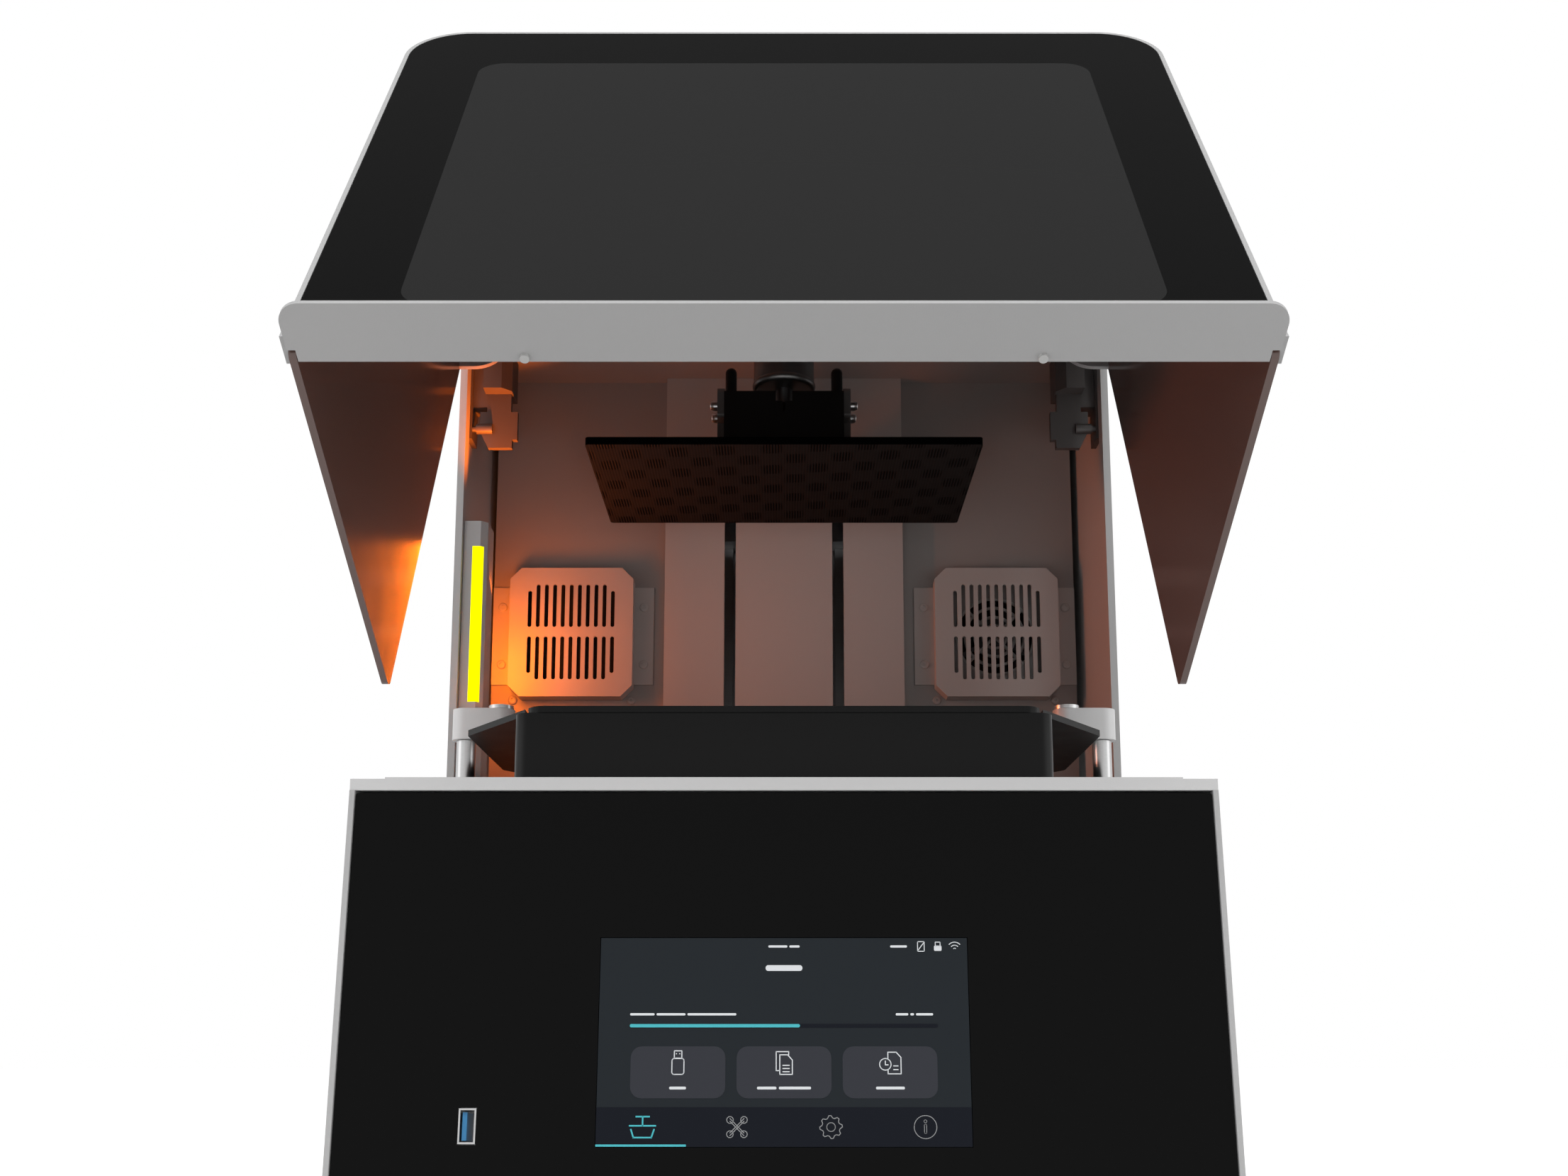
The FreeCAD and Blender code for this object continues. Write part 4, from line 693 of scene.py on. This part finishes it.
class SignLayer:
    """Signs on the touch screen; their places and sizes are shares of its width or height."""

    def __init__(self, rise):
        self.centre, self.up, self.normal, self.width, self.height = front_plane("touch_screen")
        self.rise = rise
        self.mesh = bmesh.new()

    def spot(self, x, y):
        return x * self.width, y * self.height

    def tile(self, x, y, width, height, corner):
        """Round-cornered tile about a spot, its corner a share of the height."""
        points = round_rect(width * self.width, height * self.height, corner * self.height)
        add_tile(self.mesh, shifted(points, *self.spot(x, y)), self.rise)

    def words(self, x, y, height, widths, centred=False):
        """Row of plain bars with small gaps, from its left end or about its middle."""
        tall = height * self.height
        gap = 0.9 * tall
        widths = [width * self.width for width in widths]
        left, middle = self.spot(x, y)
        if centred:
            left -= (sum(widths) + gap * (len(widths) - 1)) / 2
        for width in widths:
            bar = round_rect(width, tall, 0.45 * tall)
            add_tile(self.mesh, shifted(bar, left + width / 2, middle), self.rise)
            left += width + gap

    def draw(self, strokes, x, y, size, stroke):
        """Sign about a spot; its size and the width of its lines are shares of the width."""
        left, middle = self.spot(x, y)
        scale = size * self.width
        for kind, points in strokes:
            placed = [(left + scale * a, middle + scale * b) for a, b in points]
            if kind == "fill":
                add_tile(self.mesh, placed, self.rise)
            else:
                add_outline(self.mesh, placed, stroke * self.width, self.rise, kind == "loop")

    def lay(self, name, material):
        """Moves the signs, drawn in X and Y, onto the display's face as a piece of the cabinet."""
        across = self.up.cross(self.normal)
        turn = Matrix((across, self.up, self.normal)).transposed().to_4x4()
        place = Matrix.Translation(self.centre) @ turn
        bmesh.ops.transform(self.mesh, matrix=place, verts=self.mesh.verts)
        add_piece(name, self.mesh, "cabinet", material, "screen_glass")


class PrinterOperator:
    """Shared settings of the printer's operators."""

    bl_options = {"REGISTER", "UNDO"}


class PRINTER_OT_coated_sheet(PrinterOperator, bpy.types.Operator):
    """Powder coat on the folded sheet of the cabinet, the tower and the hood, with painted shade on the
    inner sides of the rear sheet and the roof
    """

    bl_idname = "printer.coated_sheet"
    bl_label = "Coated sheet"

    def execute(self, context):
        sheets = ("left_side_panel", "right_side_panel", "base_tray", "hood_frame", "hood_lip")
        dress(shared("sheet_grey"), *sheets)
        # Painted shade: the rear sheet's forward faces and the roof's downward faces are darkened.
        dress(sheet_with_painted_shade("rear_sheet", "rear_painted_shade", FORWARD), "rear_panel")
        dress(sheet_with_painted_shade("roof_sheet", "roof_painted_shade", DOWNWARD), "tower_roof")
        dress(coated("deck_grey"), "deck_plate")
        return {"FINISHED"}


class PRINTER_OT_gloss_sheets(PrinterOperator, bpy.types.Operator):
    """Gloss black sheets of the lower front and the hood, the hood's with a clearer field"""

    bl_idname = "printer.gloss_sheets"
    bl_label = "Gloss sheets"

    def execute(self, context):
        lower = coated("gloss_black", specular=0.07, **GLOSS_FINISH)
        dress(lower, "lower_front_panel", bevel=sizes().block_bevel)
        hood = coated("hood_gloss", specular=0.12, **GLOSS_FINISH)
        centre, up, normal, width, height = front_plane("hood_front")
        top, bottom = sizes().window_top, sizes().window_bottom
        values = {
            "Centre": centre + up * (bottom - top) / 2,
            "Up": up,
            "Half Width": width / 2 - sizes().window_side,
            "Half Height": (height - top - bottom) / 2,
            "Corner": sizes().window_corner,
        }
        field = place_group(hood.node_tree, "printed_field", values)
        second_tone(hood, field.outputs["Mask"], tint("hood_tint"))
        dress(hood, "hood_front")
        return {"FINISHED"}


class PRINTER_OT_side_windows(PrinterOperator, bpy.types.Operator):
    """Smoked acrylic side sheets of the hood"""

    bl_idname = "printer.side_windows"
    bl_label = "Side windows"

    def execute(self, context):
        acrylic = coated("smoked_acrylic", roughness=0.16, grain=200.0, relief=2e-6, polish=0.06)
        set_shader(acrylic, "IOR", 1.49)
        dress(acrylic, "hood_windows")
        return {"FINISHED"}


class PRINTER_OT_touch_screen(PrinterOperator, bpy.types.Operator):
    """Display glass with a plain menu: a progress bar, three buttons and a row of signs"""

    bl_idname = "printer.touch_screen"
    bl_label = "Touch screen"

    CARD_PITCH = 0.2845
    CARD_LEVEL = -0.150
    FOOT_LEVEL = -0.408
    BAR_LEVEL = 0.072
    BAR_WIDTH = 0.832
    DONE_WIDTH = 0.459

    def lit(self, name, strength):
        finish = {"roughness": 0.35, "grain": 900.0, "relief": 1e-6, "specular": 0.1}
        return glowing(coated(name, **finish), strength)

    def execute(self, context):
        ground_glow, mark_glow = 0.1, 0.2
        rise = sizes().ink_rise
        dress(self.lit("screen_ground", ground_glow), "touch_screen", bevel=0.0)
        layers = (
            ("screen_cards", self.draw_buttons, "screen_card", ground_glow, rise),
            ("screen_bars", self.draw_bars, "screen_shade", ground_glow, rise),
            ("screen_progress", self.draw_progress, "screen_accent", mark_glow, 2 * rise),
            ("screen_signs", self.draw_signs, "screen_mark", mark_glow, 2 * rise),
            ("screen_idle_signs", self.draw_idle_signs, "screen_faint", mark_glow, 2 * rise),
        )
        for name, draw, material, strength, level in layers:
            layer = SignLayer(level)
            draw(layer)
            layer.lay(name, self.lit(material, strength))
        return {"FINISHED"}

    def draw_buttons(self, layer):
        corner = 0.03 * layer.width / layer.height
        for column in (-1, 0, 1):
            layer.tile(column * self.CARD_PITCH, self.CARD_LEVEL, 0.2545, 0.247, corner)

    def draw_bars(self, layer):
        """Track of the progress bar, and the darker foot row with its sharp corners."""
        foot, sharp = 0.185, 0.0004 / layer.height
        layer.tile(0.0, self.BAR_LEVEL, self.BAR_WIDTH, 0.019, 0.009)
        layer.tile(0.0, (foot - 1) / 2, 1.0, foot, sharp)

    def draw_progress(self, layer):
        """Done part of the progress bar, and the active sign with the tab under it."""
        middle = (self.DONE_WIDTH - self.BAR_WIDTH) / 2
        tab, size = 0.24, 0.034
        layer.tile(middle, self.BAR_LEVEL, self.DONE_WIDTH, 0.016, 0.007)
        layer.tile((tab - 1) / 2, -0.494, tab, 0.010, 0.002)
        layer.draw(PRINTER_SIGN, -0.376, self.FOOT_LEVEL, size, 0.12 * size)

    def draw_signs(self, layer):
        """Status row, title, the line above the progress bar, and what the buttons carry."""
        thin, row, above_bar = 0.011, 0.458, 0.127
        layer.words(0.0, 0.352, 0.028, [0.100], centred=True)
        layer.words(0.0, row, thin, [0.052, 0.028], centred=True)
        layer.words(-0.416, above_bar, thin, [0.066, 0.078, 0.132])
        layer.words(0.302, above_bar, thin, [0.034, 0.010, 0.046])
        layer.words(0.290, row, thin, [0.046])
        status = ((0.374, BARRED_SHEET_SIGN), (0.420, SMALL_STICK_SIGN), (0.466, WAVES_SIGN))
        for x, strokes in status:
            layer.draw(strokes, x, row, 0.024, 0.0022)
        buttons = ((-1, [0.045], STICK_SIGN), (0, [0.052, 0.086], SHEETS_SIGN), (1, [0.077], PAST_SIGN))
        for column, widths, strokes in buttons:
            x = column * self.CARD_PITCH
            layer.words(x, self.CARD_LEVEL - 0.075, 0.013, widths, centred=True)
            layer.draw(strokes, x, self.CARD_LEVEL + 0.045, 0.028, 0.0026)

    def draw_idle_signs(self, layer):
        """Idle signs of the foot row: crossed tools, a gear and an information ring."""
        stroke = 0.0020
        row = (
            (-0.125, tools_sign(), stroke),
            (0.125, gear_sign(), stroke),
            (0.376, RING_SIGN, stroke),
            (0.376, STEM_SIGN, 0.7 * stroke),
        )
        for x, strokes, thickness in row:
            layer.draw(strokes, x, self.FOOT_LEVEL, 0.030, thickness)


class PRINTER_OT_stick_socket(PrinterOperator, bpy.types.Operator):
    """Metal shell and blue tongue of the memory stick socket"""

    bl_idname = "printer.stick_socket"
    bl_label = "Memory stick socket"

    def execute(self, context):
        edge = sizes().fine_bevel
        dress(shared("bright_steel"), "memory_stick_socket", bevel=edge)
        dress(coated("tongue_blue", roughness=0.35), "socket_tongue", bevel=edge / 1.5)
        return {"FINISHED"}


class PRINTER_OT_print_chamber(PrinterOperator, bpy.types.Operator):
    """Chamber wall, lift cover, air grilles with their screws, and the fan and filter behind them"""

    bl_idname = "printer.print_chamber"
    bl_label = "Print chamber"

    GUARD_SHARE = 0.405
    RING_SHARES = (0.3, 0.52, 0.76, 1.0)

    def execute(self, context):
        pale = tint("chamber_grey", 1.5)
        dress(coated("chamber_grey", roughness=0.5), "chamber_wall", bevel=0.0)
        dress(coated("cover_grey", pale, roughness=0.5), "lift_cover", bevel=0.0)
        grille = coated("grille_grey", pale, roughness=0.4)
        second_tone(grille, self.flange(grille.node_tree), tint("chamber_grey"))
        dress(grille, "air_grilles")
        finish = (grille, "chamber_grey_metal")
        screw_heads("grille_screw_heads", "grille_screws", 1, -1, 0.42, "cabinet", finish)
        dress(shared("fan_plastic"), "chamber_fan_frame", "chamber_fan_rotor")
        foam = coated("filter_foam", roughness=0.95, grain=700.0, relief=6e-4)
        dress(foam, "filter_cartridge", bevel=0.0)
        self.fan_guard()
        return {"FINISHED"}

    def flange(self, tree):
        """Mask of the grilles' thin flanges, which lie against the wall."""
        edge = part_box("air_grilles")[1].y - sizes().flange_depth
        return math_node(tree, "GREATER_THAN", dot_node(tree, object_place(tree), REARWARD), edge)

    def fan_guard(self):
        """Finger guard of wire rings and two crossed bars in the wall's fan opening."""
        low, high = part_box("chamber_fan_frame")
        centre = (low + high) / 2
        wall = sum(corner.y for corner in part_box("chamber_wall")) / 2
        reach = self.GUARD_SHARE * (high.x - low.x)
        curve = bpy.data.curves.new(PREFIX + "fan_guard", "CURVE")
        curve.dimensions = "3D"
        curve.bevel_depth = sizes().wire_radius
        curve.bevel_resolution = 3
        for share in self.RING_SHARES:
            self.wire(curve, polygon(36, reach * share), True)
        for angle in (45, 135):
            self.wire(curve, arc(reach, angle, angle + 180, 2), False)
        curve.materials.append(coated("guard_wire", roughness=0.4))
        guard = add_object("fan_guard", curve)
        guard.location = (centre.x, wall, centre.z)
        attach(guard, "cabinet")

    def wire(self, curve, points, closed):
        spline = curve.splines.new("POLY")
        spline.points.add(len(points) - 1)
        for point, (x, z) in zip(spline.points, points):
            point.co = (x, 0.0, z, 1.0)
        spline.use_cyclic_u = closed


class PRINTER_OT_working_lamp(PrinterOperator, bpy.types.Operator):
    """Lamp housing, its lit diffuser and the warm light that it sheds in the chamber"""

    bl_idname = "printer.working_lamp"
    bl_label = "Working lamp"

    def execute(self, context):
        dress(shared("sheet_grey"), "lamp_housing")
        finish = {"roughness": 0.5, "grain": 600.0, "relief": 1e-5, "spread": 0.02, "specular": 0.0}
        dress(glowing(coated("lamp_diffuser", **finish), 1.0), "lamp_strip", bevel=0.0)
        for lamp, light in (*self.housing_lights(), self.hinge_light()):
            light.color = tint("lamp_glow")
            lamp.visible_camera = False
        return {"FINISHED"}

    def housing_lights(self):
        """Light of the strip, from just off the housing: rearwards, inwards and to the front."""
        low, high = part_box("lamp_strip")
        inner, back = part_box("lamp_housing")[1].xy
        tall = high.z - low.z
        rear = (inner - 0.005, back + 0.001, low.z + 0.03)
        side = (inner + 0.001, back - 0.006, high.z - 0.02)
        front = (high.x + 0.004, low.y - 0.006, (low.z + high.z) / 2)
        return (
            add_panel_light("lamp_rear", rear, (0.25, 1.0, -0.1), (0.008, 0.06), 0.15),
            add_panel_light("lamp_inner", side, (0.7, 0.4, 0.5), (0.008, 0.04), 0.03),
            add_panel_light("lamp_front", front, (0.6, -0.8, 0.0), (0.012, tall), 0.4),
        )

    def hinge_light(self):
        """Upward light on the hinge above the lamp."""
        low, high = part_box("lamp_strip")
        place = Vector((high.x + 0.010, low.y - 0.012, high.z))
        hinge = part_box("hinge_brackets")[0] + Vector((0.016, 0.0, 0.016))
        lamp, light = add_light("lamp_top", "SPOT", place, hinge - place, 2.2)
        light.spot_size = math.radians(48)
        light.spot_blend = 1.0
        light.shadow_soft_size = 0.004
        return lamp, light


class PRINTER_OT_build_plate(PrinterOperator, bpy.types.Operator):
    """Build plate with its etched underside, the holder, the arms, the bolts and the knob"""

    bl_idname = "printer.build_plate"
    bl_label = "Build plate"

    ROW_LEAN = (0.1, 1.0, 0.0)

    def etched(self):
        """Black plate, its underside cut with fine lines that are deepest in leaf-shaped clusters."""
        material = new_material("etched_plate")
        tree = material.node_tree
        place = object_place(tree)
        lines = self.swell(tree, place, ACROSS, sizes().comb_pitch)
        lines = math_node(tree, "MULTIPLY_ADD", lines, 0.5, 0.5)
        across = self.swell(tree, place, ACROSS, sizes().leaf_width)
        along = self.swell(tree, place, self.ROW_LEAN, sizes().leaf_length)
        leaf = math_node(tree, "MAXIMUM", math_node(tree, "MULTIPLY", across, along), 0.0)
        depth = math_node(tree, "MINIMUM", math_node(tree, "MULTIPLY_ADD", leaf, 2.0, 0.2), 1.0)
        land = math_node(tree, "SUBTRACT", 1.0, math_node(tree, "MULTIPLY", lines, depth))
        under = place_group(tree, "facing_side", {"Direction": DOWNWARD}).outputs["Mask"]
        tone = math_node(tree, "MULTIPLY", land, under)
        ramp = add_node(tree, "ValToRGB", {"Fac": tone})
        for stop, name in zip(ramp.color_ramp.elements, ("plate_line", "plate_land")):
            stop.color = (*tint(name), 1.0)
        set_shader(material, "Base Color", ramp.outputs["Color"])
        add_bump(material, tone, 3e-4)
        set_shader(material, "Roughness", 0.8)
        set_shader(material, "Specular IOR Level", 0.02)
        return material

    def swell(self, tree, place, direction, period):
        """Sine wave along a direction; two that cross make a staggered lattice."""
        turns = math_node(tree, "MULTIPLY", dot_node(tree, place, direction), 2 * math.pi / period)
        return math_node(tree, "SINE", turns)

    def execute(self, context):
        edge = sizes().block_bevel
        dress(self.etched(), "build_plate", bevel=edge)
        dress(coated("arm_grey", roughness=0.4), "plate_bracket", "lift_arms", bevel=edge)
        dress(shared("satin_black"), "holder_block", bevel=edge)
        dress(shared("satin_black"), "holder_pillars", bevel=0.0)
        finish = (shared("bright_steel"), "bright_steel")
        screw_heads("arm_bolt_heads", "arm_bolts", 0, 0, 0.5, "carriage", finish)
        turned = brushed("knob_metal", stretch=(300.0, 300.0, 6000.0), roughness=0.45)
        dress(turned, "plate_knob", bevel=edge)
        return {"FINISHED"}


class PRINTER_OT_resin_vat(PrinterOperator, bpy.types.Operator):
    """Vat, film and ring, with the clamp posts, clamps and thumb screws beside it"""

    bl_idname = "printer.resin_vat"
    bl_label = "Resin vat"

    def execute(self, context):
        edge = sizes().block_bevel
        vat = coated("vat_black", tint("satin_black"), roughness=0.38, grain=2600.0, specular=0.15)
        dress(vat, "resin_vat", bevel=edge)
        dress(shared("satin_aluminium"), "film_clamp_ring")
        film = coated("clear_film", roughness=0.08, grain=120.0, relief=2e-6, polish=0.05)
        set_shader(film, "Alpha", 0.35)
        dress(film, "release_film", bevel=0.0)
        pale = coated("clamp_grey", tint("deck_grey", 1.2), roughness=0.4)
        dress(pale, "left_vat_clamp", "right_vat_clamp", bevel=2 * edge)
        post = brushed("turned_post", tint("bright_steel"), stretch=(300.0, 300.0, 5000.0))
        dress(post, "clamp_posts", bevel=edge)
        dress(shared("bright_steel"), "left_clamp_screw", "right_clamp_screw", bevel=sizes().small_bevel)
        return {"FINISHED"}


class PRINTER_OT_hood_hinges(PrinterOperator, bpy.types.Operator):
    """Friction hinges and soft stops of the hood"""

    bl_idname = "printer.hood_hinges"
    bl_label = "Hood hinges"

    def execute(self, context):
        # This finish of the hinges and hinge arms is darkened as painted shade.
        cast = coated("hinge_grey", grain=900.0)
        dress(cast, "hinge_brackets", bevel=sizes().block_bevel)
        dress(cast, "hood_hinge_arms")
        dress(shared("bright_steel"), "hinge_pins")
        dress(coated("stop_rubber", roughness=0.7), "hood_bumpers", bevel=sizes().sheet_bevel / 2)
        return {"FINISHED"}


class PRINTER_OT_lift_drive(PrinterOperator, bpy.types.Operator):
    """Column, rails, carriage, nut, screw and motor of the lift"""

    bl_idname = "printer.lift_drive"
    bl_label = "Lift drive"

    def threaded(self):
        material = brushed("screw_thread", tint("bright_steel"), roughness=0.3, relief=0.0)
        tree = material.node_tree
        wave = add_node(tree, "TexWave", {"Vector": object_place(tree), "Scale": 80.0})
        wave.bands_direction = "Z"
        add_bump(material, wave.outputs["Fac"], 8e-4)
        return material

    def execute(self, context):
        dress(shared("satin_aluminium"), "lift_column", "carriage_plate")
        dress(shared("bright_steel"), "lift_rails", "rail_runners")
        dress(brushed("lift_brass"), "lead_nut")
        dress(self.threaded(), "lead_screw", bevel=0.0)
        dress(shared("satin_black"), "lift_motor")
        return {"FINISHED"}


class PRINTER_OT_light_engine(PrinterOperator, bpy.types.Operator):
    """Exposure screen, light box, heat sink, cooler and electronics inside the cabinet"""

    bl_idname = "printer.light_engine"
    bl_label = "Light engine"

    def execute(self, context):
        dress(coated("exposure_glass", roughness=0.08, relief=1e-6), "exposure_screen")
        dress(shared("satin_aluminium"), "light_box", "heat_sink", "power_supply")
        board = coated("board_green", roughness=0.35, grain=400.0)
        dress(board, "exposure_led_board", "control_board", bevel=0.0)
        dress(shared("fan_plastic"), "cooler_frame", "cooler_rotor")
        return {"FINISHED"}


class PRINTER_OT_rear_and_feet(PrinterOperator, bpy.types.Operator):
    """Mains inlet, power switch and rubber feet"""

    bl_idname = "printer.rear_and_feet"
    bl_label = "Rear fittings and feet"

    def execute(self, context):
        dress(coated("inlet_plastic", roughness=0.5, grain=1200.0), "mains_inlet")
        dress(coated("rocker_plastic", roughness=0.3), "power_switch_rocker")
        rubber = coated("foot_rubber", roughness=0.8, grain=900.0)
        dress(rubber, "rubber_feet", bevel=sizes().block_bevel)
        return {"FINISHED"}


class PRINTER_OT_stage(PrinterOperator, bpy.types.Operator):
    """Pale floor, soft studio light and the camera"""

    bl_idname = "printer.stage"
    bl_label = "Stage"

    FLOOR_REACH = 6.0
    FLOOR_GLOW = 0.62
    AMBIENT = 0.45
    CEILING_GLOW = 0.12

    def seen_directly(self, tree):
        """Light Path node, and a value that is one for camera and transmission rays."""
        path = tree.nodes.new("ShaderNodeLightPath")
        rays = path.outputs["Is Camera Ray"], path.outputs["Is Transmission Ray"]
        return path, math_node(tree, "MAXIMUM", *rays)

    def floor(self):
        material = new_material("floor")
        tree = material.node_tree
        set_shader(material, "Base Color", (*tint("backdrop", 0.8), 1.0))
        set_shader(material, "Roughness", 0.9)
        set_shader(material, "Emission Color", (*tint("backdrop"), 1.0))
        path, seen = self.seen_directly(tree)
        seen = math_node(tree, "MAXIMUM", seen, path.outputs["Is Glossy Ray"])
        set_shader(material, "Emission Strength", math_node(tree, "MULTIPLY", seen, self.FLOOR_GLOW))
        mesh = bmesh.new()
        bmesh.ops.create_grid(mesh, x_segments=1, y_segments=1, size=self.FLOOR_REACH)
        add_mesh("floor", mesh, material)

    def world(self):
        """White where it is seen, dimmer as a light, and darker overhead in reflections."""
        world = bpy.data.worlds.new(PREFIX + "studio")
        world.use_nodes = True
        bpy.context.scene.world = world
        tree = world.node_tree
        background = tree.nodes["Background"]
        background.inputs["Color"].default_value = (*tint("backdrop"), 1.0)
        path, seen = self.seen_directly(tree)
        strength = math_node(tree, "MULTIPLY_ADD", seen, 1.0 - self.AMBIENT, self.AMBIENT)
        direction = tree.nodes.new("ShaderNodeTexCoord").outputs["Generated"]
        values = {
            "Value": dot_node(tree, direction, UPWARD),
            "From Min": 0.55,
            "From Max": 0.9,
            "To Min": 1.0 - self.AMBIENT,
            "To Max": self.CEILING_GLOW - self.AMBIENT,
        }
        ceiling = add_node(tree, "MapRange", values)
        glossy = math_node(tree, "MULTIPLY", ceiling.outputs["Result"], path.outputs["Is Glossy Ray"])
        tree.links.new(math_node(tree, "ADD", strength, glossy), background.inputs["Strength"])

    def lights(self):
        stands = (
            ("key_light", (0.0, -1.6, 2.0), (0.0, 0.0, 0.35), (2.2, 1.4), 34.0),
            ("left_light", (-2.0, -0.6, 0.9), (0.0, 0.0, 0.3), (1.2, 1.6), 7.0),
            ("right_light", (2.0, -0.6, 0.9), (0.0, 0.0, 0.3), (1.2, 1.6), 7.0),
        )
        for name, place, target, size, power in stands:
            add_panel_light(name, place, Vector(target) - Vector(place), size, power)

    def camera(self):
        data = bpy.data.cameras.new(PREFIX + "camera")
        data.sensor_width = 36.0
        data.lens = 36.0
        data.shift_y = 0.125
        data.clip_start = 0.01
        camera = add_object("camera", data)
        camera.location = (0.0, -sizes().camera_distance, sizes().camera_height)
        camera.rotation_euler = (math.radians(90) + sizes().camera_pitch, 0.0, 0.0)
        bpy.context.scene.camera = camera

    def execute(self, context):
        bpy.context.scene.view_settings.view_transform = "Standard"
        self.floor()
        self.world()
        self.lights()
        self.camera()
        return {"FINISHED"}


# Every operator above, in the order in which it is written
STEPS = tuple(PrinterOperator.__subclasses__())


class PRINTER_PT_sidebar(bpy.types.Panel):
    """Lists the printer's pieces, sizes and colours"""

    bl_idname = "PRINTER_PT_sidebar"
    bl_label = "Resin Printer"
    bl_space_type = "VIEW_3D"
    bl_region_type = "UI"
    bl_category = "Printer"

    def draw(self, context):
        layout = self.layout
        for step in STEPS:
            layout.operator(step.bl_idname)
        for group in (context.scene.printer_sizes, context.scene.printer_colours):
            box = layout.box()
            for key in group.__annotations__:
                box.prop(group, key)


CLASSES = (PrinterColours, PrinterSizes, *STEPS, PRINTER_PT_sidebar)


def register():
    for item in CLASSES:
        bpy.utils.register_class(item)
    bpy.types.Scene.printer_colours = PointerProperty(type=PrinterColours)
    bpy.types.Scene.printer_sizes = PointerProperty(type=PrinterSizes)


def unregister():
    del bpy.types.Scene.printer_sizes
    del bpy.types.Scene.printer_colours
    for item in reversed(CLASSES):
        bpy.utils.unregister_class(item)


def main():
    register()
    for step in STEPS:
        space, name = step.bl_idname.split(".")
        getattr(getattr(bpy.ops, space), name)()


if __name__ == "__main__":
    main()
